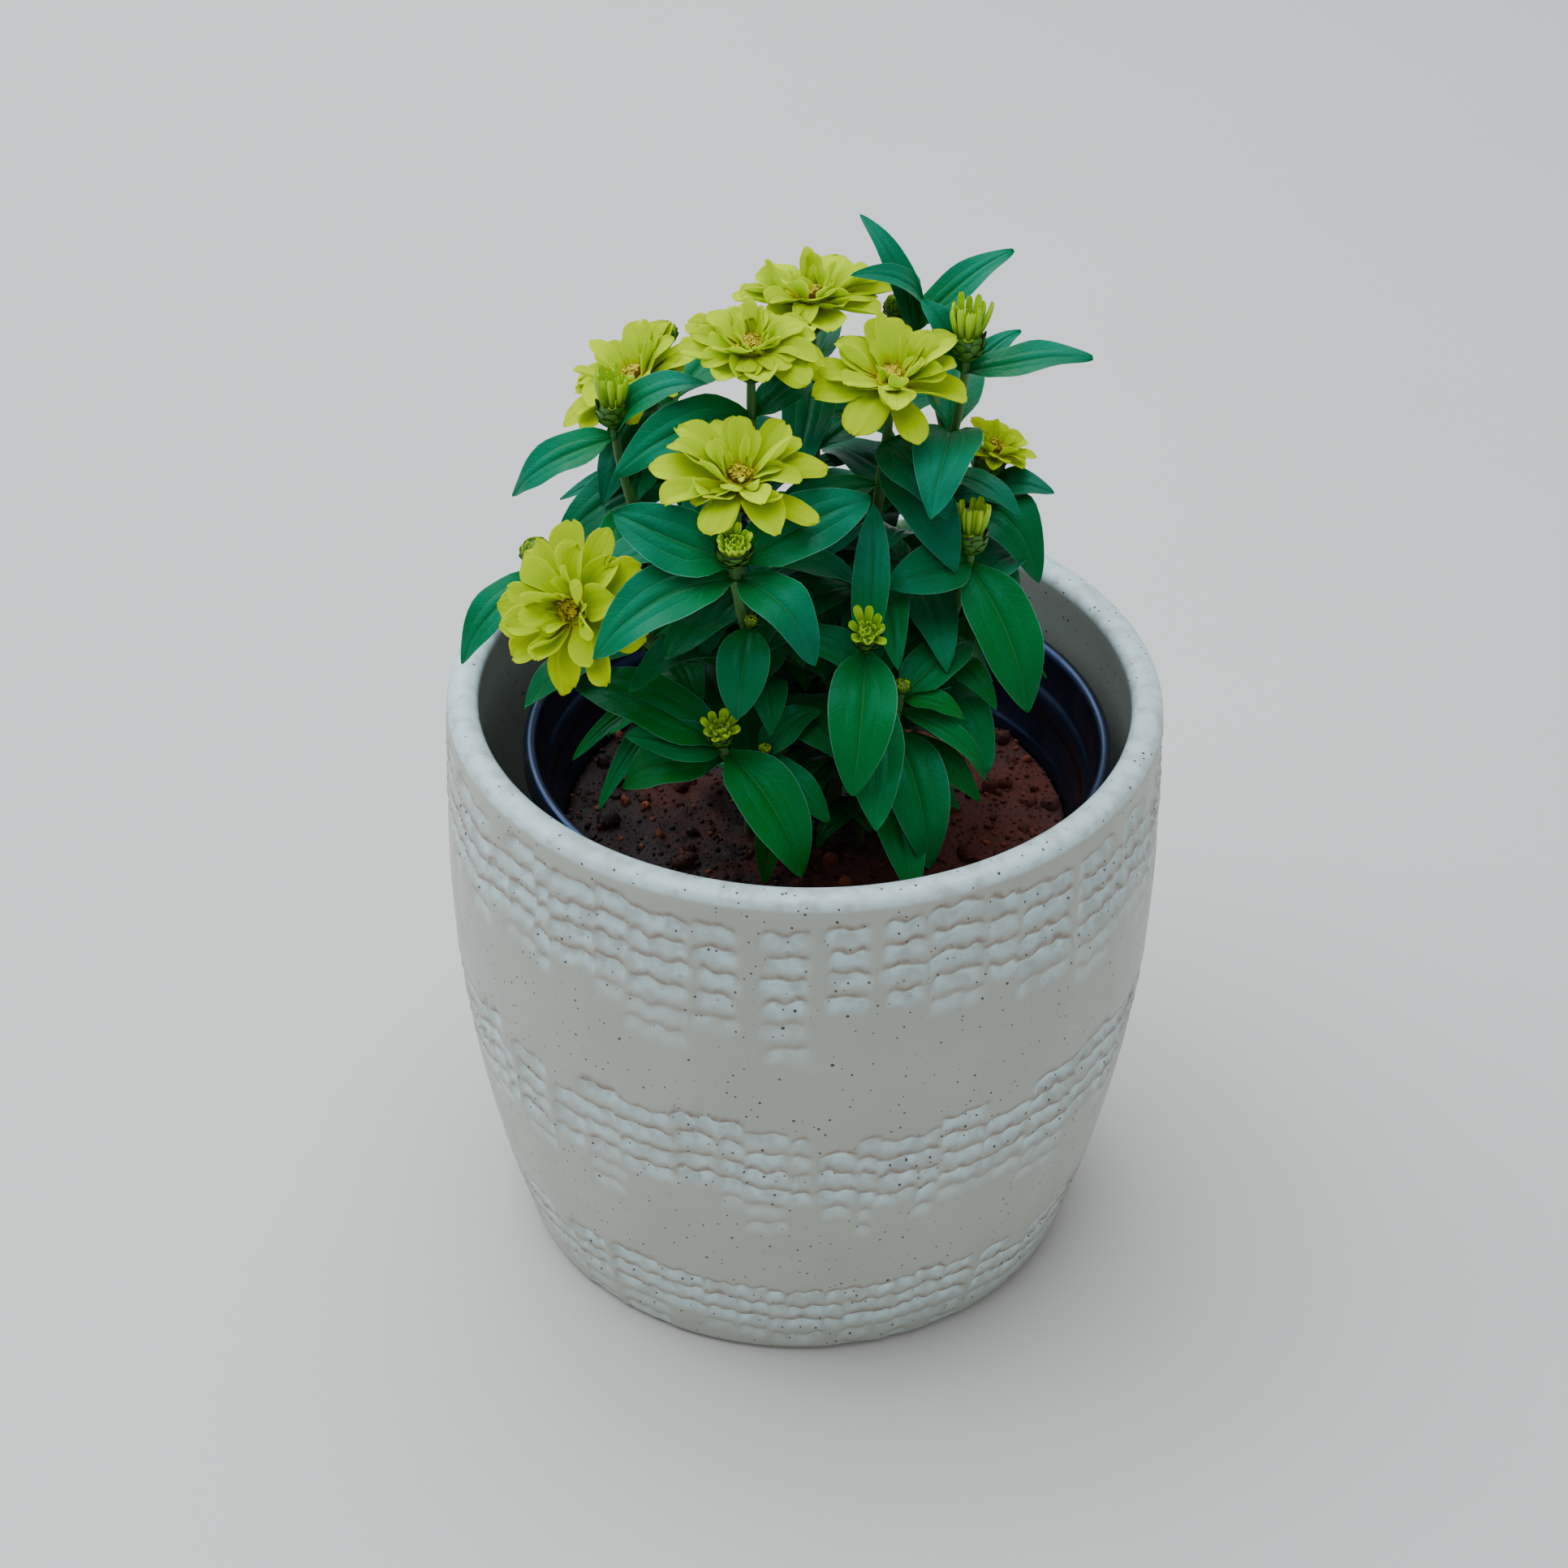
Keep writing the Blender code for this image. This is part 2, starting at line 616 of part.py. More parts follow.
def joined(node, material):
    """One object from a node's shapes, joined by one Boolean union on a collection."""
    shapes = pieces[node]
    first = make_object(node, *shapes[0], material)
    if len(shapes) > 1:
        rest = bpy.data.collections.new(node + "_pieces")
        bpy.context.scene.collection.children.link(rest)
        for i, shape in enumerate(shapes[1:]):
            obj = make_object(f"{node}_piece_{i}", *shape, material)
            bpy.context.scene.collection.objects.unlink(obj)
            rest.objects.link(obj)
        union = first.modifiers.new("Join", "BOOLEAN")
        union.operation = "UNION"
        union.operand_type = "COLLECTION"
        union.collection = rest
        union.solver = "MANIFOLD"
        graph = bpy.context.evaluated_depsgraph_get()
        whole = bpy.data.meshes.new_from_object(first.evaluated_get(graph))
        first.modifiers.clear()
        first.data = whole
        for obj in list(rest.objects):
            bpy.data.objects.remove(obj)
        bpy.data.collections.remove(rest)
    keep_largest_shell(first.data)
    return first


def keep_largest_shell(mesh):
    """Fills sealed hollows and drops loose scraps."""
    work = bmesh.new()
    work.from_mesh(mesh)
    unseen = set(work.verts)
    shells = []
    while unseen:
        shell = {unseen.pop()}
        edge_of = list(shell)
        while edge_of:
            vert = edge_of.pop()
            for edge in vert.link_edges:
                other = edge.other_vert(vert)
                if other in unseen:
                    unseen.discard(other)
                    shell.add(other)
                    edge_of.append(other)
        shells.append(shell)
    shells.sort(key=len)
    spare = [vert for shell in shells[:-1] for vert in shell]
    bmesh.ops.delete(work, geom=spare, context="VERTS")
    work.to_mesh(mesh)
    work.free()


def pot_radius(height):
    """The cover pot's outer wall: one parabola from foot to belly, and a flatter one to the mouth."""
    below = height < POT_BELLY_HEIGHT
    end = POT_FOOT_RADIUS if below else POT_RADIUS
    span = POT_BELLY_HEIGHT if below else POT_HEIGHT - POT_BELLY_HEIGHT
    return POT_BELLY_RADIUS - (POT_BELLY_RADIUS - end) * ((height - POT_BELLY_HEIGHT) / span) ** 2


def pot_shapes():
    """The cover pot's outer profile with a ridge for each row of pads, then its rim and inside."""
    heights = []
    pads = set()
    for low, high in PAD_BANDS:
        step = (high - low) / PAD_ROWS
        for row in range(PAD_ROWS):
            base = low + row * step
            heights += [base, base + 0.45 * step]
            pads.add(base + 0.45 * step)
        heights.append(high)
    heights = sorted(heights + list(PLAIN_HEIGHTS))
    foot = POT_FOOT_RADIUS
    bevel = 0.3 * POT_FOOT_ROUND
    profile = [(0, 0), (foot - POT_FOOT_ROUND, 0), (foot - bevel, bevel)]
    profile += [(pot_radius(h), h) for h in heights]
    inner = POT_RADIUS - POT_WALL
    top = POT_HEIGHT
    profile += [(POT_RADIUS, top - 4.0), (POT_RADIUS - 1.8, top - 0.8), (POT_RADIUS - 5.0, top)]
    profile += [(inner + 2.2, top - 0.6), (inner, top - 4.0)]
    for height in INSIDE_HEIGHTS:
        profile.append((pot_radius(height) - POT_WALL, height))
    profile += [(pot_radius(POT_FLOOR) - POT_WALL - 6.0, POT_FLOOR), (0, POT_FLOOR)]

    def pads_out(row, k, height):
        if height not in pads or profile[row][0] < pot_radius(height) - 1.0:
            return 0.0
        stagger = (k + round(height)) % 2
        return PAD_HEIGHT if stagger else 0.25 * PAD_HEIGHT

    return turned(profile, POT_SIDES, swell=pads_out)


def nursery_shapes():
    """The nursery pot about its own foot: tapered wall with two steps, and a rolled rim."""
    rim = NURSERY_RIM_RADIUS
    top = NURSERY_HEIGHT
    wall = NURSERY_WALL
    skirt = top - NURSERY_RIM_DROP
    step = rim - 4.5
    foot = NURSERY_FOOT_RADIUS
    profile = [
        (0, 0), (foot, 0), (foot + 3.0, 3.0), (step - 6.5, skirt - 24.0), (step - 4.5, skirt - 22.0),
        (step - 2.0, skirt - 6.0), (step, skirt - 4.0), (step, skirt), (rim, skirt), (rim, top - 1.6),
        (rim - 1.6, top), (rim - 3.4, top), (rim - 4.6, top - 2.0), (step - wall, skirt - 4.6),
        (step - 2.0 - wall, skirt - 6.6), (step - 4.5 - wall, skirt - 22.6),
        (step - 6.5 - wall, skirt - 24.6), (foot + 3.0 - wall, 3.6), (foot - wall, 2.0), (0, 2.0),
    ]
    return turned(profile, NURSERY_SIDES)


def soil_shapes():
    """The root ball of soil in the nursery pot, with a lumpy top."""
    step = NURSERY_RIM_RADIUS - 4.5 - NURSERY_WALL
    skirt = NURSERY_HEIGHT - NURSERY_RIM_DROP
    top = SOIL_TOP - POT_FLOOR - GAP
    ledge = skirt - 24.6
    foot = NURSERY_FOOT_RADIUS + 3.0 - NURSERY_WALL
    room = 0.6
    share = (ledge - top) / (ledge - 3.6)
    rim = step - 6.5 + share * (foot - step + 6.5) if top < ledge else step - 6.0
    floor = 2.0 + GAP
    profile = [(0, floor), (foot - 4.0, floor), (foot - room, 8.0), (rim - room, top - 2.5)]
    profile += [(rim - room - 0.6, top), (0.86 * rim, top), (0.68 * rim, top), (0.5 * rim, top)]
    profile += [(0.3 * rim, top), (0, top)]
    verts, faces = turned(profile, NURSERY_SIDES)
    rng = random.Random(3)
    for vert in verts:
        if vert.z == top and vert.xy.length < 0.9 * rim:
            vert.z += rng.uniform(-SOIL_ROUGHNESS, SOIL_ROUGHNESS)
    return verts, faces


def cut(obj, cutters):
    """Takes the cutters out of an object with one Boolean, and removes them."""
    tools = bpy.data.collections.new(obj.name + "_cutters")
    bpy.context.scene.collection.children.link(tools)
    for i, shape in enumerate(cutters):
        cutter = make_object(f"{obj.name}_cutter_{i}", *shape)
        bpy.context.scene.collection.objects.unlink(cutter)
        tools.objects.link(cutter)
    bore = obj.modifiers.new("Holes", "BOOLEAN")
    bore.operation = "DIFFERENCE"
    bore.operand_type = "COLLECTION"
    bore.collection = tools
    graph = bpy.context.evaluated_depsgraph_get()
    whole = bpy.data.meshes.new_from_object(obj.evaluated_get(graph))
    obj.modifiers.clear()
    obj.data = whole
    for cutter in list(tools.objects):
        bpy.data.objects.remove(cutter)
    bpy.data.collections.remove(tools)


def post(centre, radius, low, high, sides):
    """A round cutter between two heights, its sides outside the radius."""
    reach = radius / math.cos(math.pi / sides)
    profile = ((0, low), (reach, low), (reach, high), (0, high))
    return turned(profile, sides, Vector((*centre, 0.0)))


def add_pots():
    cover = make_object("cover_pot", *pot_shapes(), "stoneware_glaze")
    cover.data.shade_smooth()
    nursery = make_object("nursery_pot", *nursery_shapes(), "nursery_plastic")
    ring = 0.62 * NURSERY_FOOT_RADIUS
    drains = []
    for k in range(DRAIN_HOLES):
        angle = math.tau * k / DRAIN_HOLES
        spot = (ring * math.cos(angle), ring * math.sin(angle))
        drains.append(post(spot, DRAIN_RADIUS, -2.0, 6.0, HOLE_SIDES))
    cut(nursery, drains)
    soil = make_object("soil", *soil_shapes(), "laterite_soil")
    holes = []
    for shoot in SHOOTS:
        if not isinstance(shoot.start[0], str):
            spot = (shoot.start[0] - NURSERY_SHIFT, shoot.start[1])
            low = SOIL_TOP - POT_FLOOR - STEM_DEPTH - 2 * GAP - 1.0
            holes.append(post(spot, STEM_FOOT_RADIUS + GAP, low, low + 2 * STEM_DEPTH, HOLE_SIDES))
    cut(soil, holes)
    seat = bpy.data.objects.new("nursery_seat", None)
    seat.location = (MM * NURSERY_SHIFT, 0.0, MM * (POT_FLOOR + GAP))
    bpy.context.scene.collection.objects.link(seat)
    nursery.parent = seat
    soil.parent = seat


def add_plant():
    # The pots stand in the way of the leaves
    seat = Vector((NURSERY_SHIFT, 0.0, POT_FLOOR + GAP))
    for node, (verts, faces) in (
        ("cover_pot", pot_shapes()),
        ("nursery_pot", nursery_shapes()),
        ("soil", soil_shapes()),
    ):
        if node != "cover_pot":
            verts = [seat + v for v in verts]
        tree = BVHTree.FromPolygons(verts, faces)
        grown.append((node, tree, *box_of(verts)))
    lines = {}
    tops = {}
    add_stems(lines, tops)
    buds = [shoot for shoot in SHOOTS if shoot.kind in ("opening", "young")]
    for number, shoot in enumerate(buds, 1):
        add_bud_tips(shoot, tops[shoot.name], f"bud_petals_{number}")
    blooms = [shoot for shoot in SHOOTS if "bloom" in shoot.kind]
    for number, shoot in enumerate(blooms, 1):
        add_bloom(shoot, number)
    add_hand_leaves(lines)
    add_ruled_leaves(lines)
    for node in pieces:
        kind = node.rsplit("_", 1)[0]
        material = {"leafy_stem": "zinnia_leaf", "disc": "zinnia_disc"}.get(kind, "zinnia_petal")
        joined(node, material)


def main():
    clear_scene()
    for name in MATERIALS:
        make_material(name)
    add_pots()
    add_plant()


main()
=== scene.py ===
"""The looks of a potted zinnia: a bushy double yellow zinnia in a black nursery pot, in a glazed pot.

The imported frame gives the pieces' places. The layout below is the plant's own, in millimetres, and
MM turns it to metres where a mesh is made. +Z is up, and -Y is the front.
"""

import json
import random
from collections import namedtuple
from contextlib import contextmanager
from functools import cache, partial
from itertools import accumulate
from math import cos, exp, pi, radians, sin, sqrt, tau

import bmesh
import bpy
import numpy as np
from bpy.props import FloatProperty, FloatVectorProperty, IntProperty
from mathutils import Matrix, Quaternion, Vector, noise
from mathutils.bvhtree import BVHTree

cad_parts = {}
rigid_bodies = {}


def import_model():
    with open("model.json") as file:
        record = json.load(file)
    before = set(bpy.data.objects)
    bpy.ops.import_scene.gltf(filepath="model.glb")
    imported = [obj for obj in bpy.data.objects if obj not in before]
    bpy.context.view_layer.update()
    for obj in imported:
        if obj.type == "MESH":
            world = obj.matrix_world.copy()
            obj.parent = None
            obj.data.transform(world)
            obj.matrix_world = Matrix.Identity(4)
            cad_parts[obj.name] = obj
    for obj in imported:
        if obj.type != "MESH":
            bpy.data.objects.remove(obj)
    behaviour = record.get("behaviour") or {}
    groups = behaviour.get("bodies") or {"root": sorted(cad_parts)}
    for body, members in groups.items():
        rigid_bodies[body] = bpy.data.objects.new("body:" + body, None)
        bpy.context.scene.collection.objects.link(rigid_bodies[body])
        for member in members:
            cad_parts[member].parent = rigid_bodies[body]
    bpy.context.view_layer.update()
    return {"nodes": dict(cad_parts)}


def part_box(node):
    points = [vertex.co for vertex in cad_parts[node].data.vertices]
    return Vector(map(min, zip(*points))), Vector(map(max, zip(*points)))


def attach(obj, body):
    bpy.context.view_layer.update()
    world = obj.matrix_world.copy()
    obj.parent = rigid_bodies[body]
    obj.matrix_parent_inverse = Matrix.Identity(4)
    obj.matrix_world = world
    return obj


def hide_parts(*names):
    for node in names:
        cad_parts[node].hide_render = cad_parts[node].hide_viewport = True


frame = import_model()

bl_info = {
    "name": "Potted Zinnia",
    "version": (1, 0, 0),
    "blender": (4, 5, 0),
    "location": "3D View > Sidebar > Zinnia",
    "description": "Builds a double yellow zinnia in its nursery pot and glazed cover pot",
    "category": "Add Mesh",
}

MM = 0.001
UP = Vector((0, 0, 1))
GAP = 0.3

# Cover pot
POT_HEIGHT = 214
POT_RADIUS = 120
POT_BELLY_RADIUS = 121.3
POT_BELLY_HEIGHT = 154
POT_FOOT_RADIUS = 96.7
POT_FOOT_ROUND = 4
POT_WALL = 10.5
POT_FLOOR = 12
POT_COLUMNS = 480
RIM_BASE = 209.2
RIM_RISE = 4.8
# Painted highlight: the rim's top takes the pools' pale colour, and no lip colour
RIM_PAINTED_HIGHLIGHT = {"pool": 0.7, "lip": 0}

# The cover pot's scoops stand in three bands. Band gives the highest lip, the rows, how far apart
# they are, the widest gap at the front and how far round it reaches, how often a strip breaks off,
# and how far strips step
Band = namedtuple("Band", "top rows pitch gap spread breaks stagger")
SCOOP_BANDS = (
    Band(38, 4, 8.2, 0.4, 60, 0.04, 1.1),
    Band(118.5, 5, 8.6, 1.2, 60, 0.14, 3),
    Band(203, 5, 8.9, 6.5, 40, 0.08, 1.9),
)
SCOOP_STEP = 1
PLAIN_STRETCHES = ((44, 60), (125, 144), (207.4, 208.6))

# Nursery pot, set a little to one side
NURSERY_SHIFT = 4.5
NURSERY_HEIGHT = 181.5
NURSERY_RIM_RADIUS = 99.5
NURSERY_FOOT_RADIUS = 74
NURSERY_WALL = 1.6
NURSERY_RIM_DROP = 9
# Each is how far in and how far down: the outer wall under the rim, the rim, and the inner wall
NURSERY_OUTSIDE = ((6.5, 24), (5.6, 23.2), (4.6, 22), (3.9, 18), (2.2, 6.6), (1, 5.2), (0, 4), (0, 0))
NURSERY_RIM = ((0, 2.2), (0.5, 0.8), (1.8, 0), (3, 0.1), (4, 0.9), (4.7, 2.6))
NURSERY_INSIDE = (
    (0, 4.2), (0.9, 5.6), (2.3, 6.9), (3.3, 13), (2.9, 14.2), (3.7, 15.4), (4.7, 22.4), (5.8, 23.7),
    (6.6, 25),
)
DRAIN_HOLES = 4
DRAIN_RADIUS = 5
# How far out from the middle of the pot's floor they are
DRAIN_SHARE = 0.62

# Soil. Its grains are large clods and small crumbs: how fine their shapes are, how many a square
# metre holds, how far apart they keep, and their smallest and largest size
SOIL_TOP = 158
SOIL_ROUGHNESS = 2.8
Grain = namedtuple("Grain", "detail density spacing smallest largest")
SOIL_GRAINS = (Grain(2, 22000.0, 4, 3, 11), Grain(1, 220000.0, 1.8, 0.9, 3.4))

# Plant, as rough as the CAD has it
STEM_DEPTH = 24
STEM_SIDES = 5
STEM_FOOT_RADIUS = 2
STEM_TOP_RADIUS = 1.4
STEM_STEPS = 4
ROUGH_THICK = 1.2
LEAF_FOLD = 0.16
PETAL_FOLD = 0.12
LEAF_DROP = 2.5
PAIR_SPACING = 29
LEAF_LENGTH = 52
LEAF_WIDTH = 20.5
LOWEST_PAIR = 14
LOWEST_YOUNG_PAIR = 6
YOUNG_PAIRS = ((0.5, 0.62), (1.1, 0.5))
FRONT = Vector((0, -1, 0))
TOWARDS_FRONT = Vector((0, -0.81, 0.59))
OUTWARD_LEAN = 0.2
BLOOM_RADIUS = 29
BLOOM_CORE = 5.4
SMALL_BLOOM_CORE = 4.4
BLOOM_DROP = 3.6
DISC_RISE = 2.8
DISC_SEAT = 1.4 + GAP
CUP_RADIUS = 5.6
CUP_SIDES = 7
SCALE_RELIEF = 0.35

# The finer pieces: how many shapes each kind of blade and the clods have, how thick small blades
# are, how finely stems are drawn and how much they swell where a leaf leaves them
LEAF_SHAPES = 9
PETAL_SHAPES = 14
SMALL_SHAPES = 3
CLOD_SHAPES = 5
BRACT_THICK = 0.25
CLOSED_RAY_THICK = 0.2
ROLLED_RAY_THICK = 0.3
FINE_STEM_STEPS = 14
FINE_STEM_STEP = 2.5
FINE_STEM_SIDES = 10
LEAF_JOINT_SWELL = 0.35
# Leaves below the first height are in the others' shade and take a plain green, and those above the second
# are in the sun and keep the painted sky sheen
SHADE_HEIGHTS = (225, 285)
# How many of a bloom's outer petals have a twin, and the florets of its disc
TWIN_SHARE = 0.7
FLORETS = {"bloom": 46, "small bloom": 30}
FLORET_SIZE = 0.8
DISC_DOME = 1.1
GOLDEN_ANGLE = pi * (3 - sqrt(5))

# Fixed seeds, one for each use of chance. A seed for several pieces is added to the piece's number
SEEDS = {
    "grown petals": 100, "grown leaves": 7, "young leaves": 8, "leaf shapes": 21, "petal shapes": 33,
    "rolled shapes": 5, "bract shapes": 8, "clod shapes": 12, "clod tones": 11, "scoops": 17,
    "leafy stems": 300, "blooms": 500, "bud petals": 700,
}

# Each kind of cup as radius and height, from its stem up
CUP = {
    "bloom": ((0, 0), (2.2, 0), (5.9, 5), (5.6, 8), (0, 8)),
    "small bloom": ((0, 0), (2, 0), (5.2, 4.4), (4.9, 7), (0, 7)),
    "opening": ((0, 0), (2.2, 0), (4.6, 2.2), (5.6, 5), (5, 8), (0, 8)),
    "young": ((0, 0), (2.2, 0), (4.6, 1.8), (5.6, 4), (5.2, 6), (0, 6)),
    "closed": ((0, 0), (2.2, 0), (4.6, 2), (5.6, 4.6), (4.6, 7.4), (2.4, 9), (0, 9.4)),
}


def frame_along(direction):
    """A rotation that turns +Z to the direction."""
    return direction.normalized().to_track_quat("Z", "Y")


# A listed leaf: how far below the head it leaves its shoot, its tip, its width, its arch, and how
# far its upper face leans to the front
Leaf = namedtuple("Leaf", "below tip width arch lean", defaults=(0.16, 0.3))


class Shoot(namedtuple("Shoot", "name stem start head facing kind size leaves pairs first turn")):
    """A shoot: its name, its stem's number, where it starts, its head's middle, where the head faces,
    what the head is, its size, its listed leaves, and how many pairs follow the rule below them,
    with the first pair's distance below the head and its turn in degrees. It starts in the soil at
    (x, y), or on an earlier shoot at (name, distance below that shoot's head).
    """

    @property
    def node(self):
        return f"leafy_stem_{self.stem:02d}"

    @property
    def branches(self):
        return isinstance(self.start[0], str)

    @property
    def middle(self):
        return Vector(self.head)

    @property
    def way(self):
        return Vector(self.facing).normalized()

    @property
    def spin(self):
        return frame_along(self.way)

    @property
    def scale(self):
        return 1 if "bloom" in self.kind else self.size / CUP_RADIUS

    @property
    def core(self):
        return SMALL_BLOOM_CORE if self.kind == "small bloom" else BLOOM_CORE

    @property
    def cup(self):
        """The cup's profile, from the foot where it leaves its stem."""
        return [(self.scale * r, self.scale * h) for r, h in CUP[self.kind]]

    @property
    def foot(self):
        height = self.scale * (8 if self.kind == "bloom" else 7)
        drop = height + BLOOM_DROP if "bloom" in self.kind else self.scale * 4
        return self.middle - drop * self.way

    @property
    def top(self):
        return self.foot + self.scale * CUP[self.kind][-1][1] * self.way


SHOOTS = (
    Shoot("back", 1, (3, 13), (0, 44, 336), (-0.05, 0.1, 1), "bloom", 28.5, (), 3, 17, 100),
    Shoot("top", 2, (-3, 3), (-19, 2, 341), (0, -0.04, 1), "bloom", 24.5, (
        Leaf(13, (-61, -25, 313), 19, 0.16, 0.5), Leaf(13, (6, 12, 325), 15, 0.26),
    ), 3, 38, 75),
    Shoot("crown", 3, (11, 1), (26, 6, 328), (0.03, -0.17, 1), "bloom", 29.5, (
        Leaf(12, (45, -20, 294), 20, 0.2, 0.4), Leaf(20, (48, -22, 275), 19, 0.14, 0.5),
        Leaf(58, (29, -47, 254), 16, 0.16, 0.6),
    ), 3, 32, 195),
    Shoot("left", 4, (-14, 9), (-57, 25, 316), (-0.5, 0.05, 0.87), "bloom", 27.5, (
        Leaf(24, (-82, 15, 277), 9, 0.1), Leaf(26, (-84, 5, 262), 20, 0.26, 0.4),
    ), 3, 46, 60),
    Shoot("left_back_bud", 4, ("left", 60), (-49, 50, 318), (-0.1, 0.1, 1), "closed", 5, (), 1, 20, 70),
    Shoot("left_bud", 5, (-16, 0), (-63, 0, 317), (-0.06, 0, 1), "opening", 5.2, (
        Leaf(3, (-97, -5, 291), 16, 0.1), Leaf(3, (-34, 10, 322), 16, 0.12),
    ), 3, 32, 95),
    Shoot("middle", 6, (-4, -8), (-22, -38, 317), (0.05, -0.18, 0.98), "bloom", 31, (), 3, 26, 5),
    Shoot("middle_bud", 7, (-2, -16), (-23, -64, 307), (0, -0.35, 0.94), "young", 5.4, (
        Leaf(1, (-61, -52, 314), 21, 0.12, 1), Leaf(1, (20, -42, 316), 21, 0.1, 0.8),
        Leaf(9, (3, -82, 279), 18, 0.2), Leaf(9, (-67, -78, 277), 22, 0.16, 0.4),
    ), 2, 58, 40),
    Shoot("middle_tiny", 7, ("middle_bud", 42), (-18, -56, 276), (0.1, -0.4, 0.9), "closed", 2.2, (
        Leaf(1, (-22, -74, 251), 17, 0.22),
    ), 0, 0, 0),
    Shoot("low_left", 8, (-18, -9), (-74, -52, 277), (-0.52, -0.68, 0.5), "bloom", 30, (
        Leaf(64, (-67, -58, 204), 9, 0.2), Leaf(58, (-76, -45, 214), 8, 0.15),
    ), 1, 34, 50),
    Shoot("far_left_bud", 8, ("low_left", 45), (-88, -15, 274), (-0.2, 0, 1), "closed", 5, (
        Leaf(4, (-112, -40, 249), 16, 0.16, 0.1), Leaf(20, (-62, 6, 248), 15, 0.16),
    ), 0, 0, 0),
    Shoot("right", 9, (21, 11), (61, 30, 287), (0.35, 0, 0.94), "small bloom", 15, (
        Leaf(6, (80, 14, 283), 13, 0.12), Leaf(11, (77, 2, 256), 22, 0.42),
    ), 3, 34, 70),
    Shoot("top_bud", 10, (15, 19), (50, 15, 335), (0.02, 0, 1), "opening", 5.6, (
        Leaf(4, (90, 10, 336), 15, 0.06, 0.2), Leaf(4, (37, 22, 349), 12, 0.08),
        Leaf(5, (68, 30, 334), 8, 0.06),
    ), 3, 30, 80),
    Shoot("back_bud", 10, ("top_bud", 40), (29, 46, 332), (-0.35, 0.05, 0.93), "closed", 5, (
        Leaf(4, (66, 60, 347), 13, 0.1), Leaf(5, (14, 30, 354), 14, 0.3),
        Leaf(8, (16, 58, 360), 10, 0.12),
    ), 0, 0, 0),
    Shoot("right_bud", 11, (20, -3), (53, -10, 277), (0.05, 0.05, 1), "opening", 5, (
        Leaf(3, (73, -40, 232), 22, 0.12, 0.5), Leaf(2, (26, -28, 272), 18, 0.12, 0.9),
        Leaf(12, (73, 10, 262), 17, 0.14),
    ), 2, 32, 60),
    Shoot("front_bud", 12, (9, -14), (19, -55, 270), (0.02, -0.5, 0.87), "young", 4.6, (
        Leaf(5, (15, -88, 233), 22, 0.16, 0.4), Leaf(7, (21, -14, 294), 12, 0.14),
        Leaf(16, (-6, -40, 262), 15, 0.14),
    ), 2, 38, 100),
    Shoot("low_bud", 13, (-9, -22), (-27, -66, 239), (-0.05, -0.4, 0.9), "young", 4.4, (
        Leaf(3, (-76, -46, 247), 21, 0.12, 0.4), Leaf(6, (-57, -66, 239), 14, 0.08, 0.7),
        Leaf(8, (0, -88, 200), 22, 0.16, 0.4), Leaf(13, (-60, -56, 212), 18, 0.22, 0.5),
    ), 0, 0, 0),
    Shoot("low_tiny", 13, ("low_bud", 26), (-13, -61, 230), (0.1, -0.3, 0.95), "closed", 2.2, (
        Leaf(2, (8, -76, 213), 12, 0.14, 0.4), Leaf(1, (4, -50, 240), 13, 0.1),
    ), 0, 0, 0),
    Shoot("low_right", 14, (19, -15), (31, -42, 242), (0.05, -0.2, 0.97), "closed", 2.8, (
        Leaf(2, (54, -12, 241), 17, 0.14), Leaf(3, (52, -44, 232), 9, 0.14),
        Leaf(9, (60, -52, 213), 9, 0.2), Leaf(20, (41, -72, 192), 21, 0.2, 0.4),
        Leaf(24, (58, -48, 202), 12, 0.14),
    ), 1, 40, 100),
)
BLOOMS = [shoot for shoot in SHOOTS if "bloom" in shoot.kind]

LEAF_STOPS = (0, 0.2, 0.5, 0.8, 1)
INNER_LEAF_STOPS = (0, 0.3, 0.7, 1)
PETAL_STOPS = (0, 0.68, 1)
PETAL_HALVES = (0.26, 1, 0.55)

# Each layer of petals, from the outside in: how many, their share of the bloom's radius, how far
# they rise in degrees, their width, and how far above the head's middle they start
Layer = namedtuple("Layer", "count share rise width height")
LAYERS = {
    "bloom": (
        Layer(9, 1, 6, 13, -2.2),
        Layer(6, 0.8, 28, 12, -0.6),
        Layer(3, 0.52, 58, 8, 0.4),
    ),
    "small bloom": (
        Layer(8, 1, 22, 7.5, -1),
        Layer(4, 0.75, 50, 6.5, 0.2),
    ),
}

# Rings of small rays round a bloom's disc: how many, their reach, their rise in degrees, width, how
# far inside the core and how high they start, and how green they are
InnerRing = namedtuple("InnerRing", "count reach rise width inset height tone")
INNER_RAYS = (
    InnerRing(6, 16.5, 52, 6.8, 1.2, 0.4, 0.2),
    InnerRing(4, 11.5, 64, 3.6, 1.6, 0.8, 0.5),
    InnerRing(4, 8, 70, 2.2, 2.2, 1.2, 0.8),
)

# Each ring of a bud's petal tips: how many, their share of the cup's radius, length and flare
BUD_TIPS = {
    "opening": ((7, 0.6, 11.5, 14), (2, 0.25, 12, 6)),
    "young": ((7, 0.6, 6, 30), (2, 0.28, 5, 8)),
}
BUDS = [shoot for shoot in SHOOTS if shoot.kind in BUD_TIPS]

# Rings of rolled rays in an opening bud: how many, their share of the cup's radius, length, flare
# in degrees and width
ROLLED_RAYS = {
    "opening": ((10, 0.66, 12.4, 12, 2.6), (6, 0.4, 10.5, 5, 2.2)),
    "young": ((12, 0.68, 5.2, 24, 2.4), (8, 0.46, 3.8, 6, 1.8), (4, 0.2, 3, 0, 1.5)),
    "flared": ((8, 0.64, 9, 36, 3.8), (7, 0.46, 5.4, 14, 2.4), (5, 0.2, 3.6, 2, 1.8)),
}

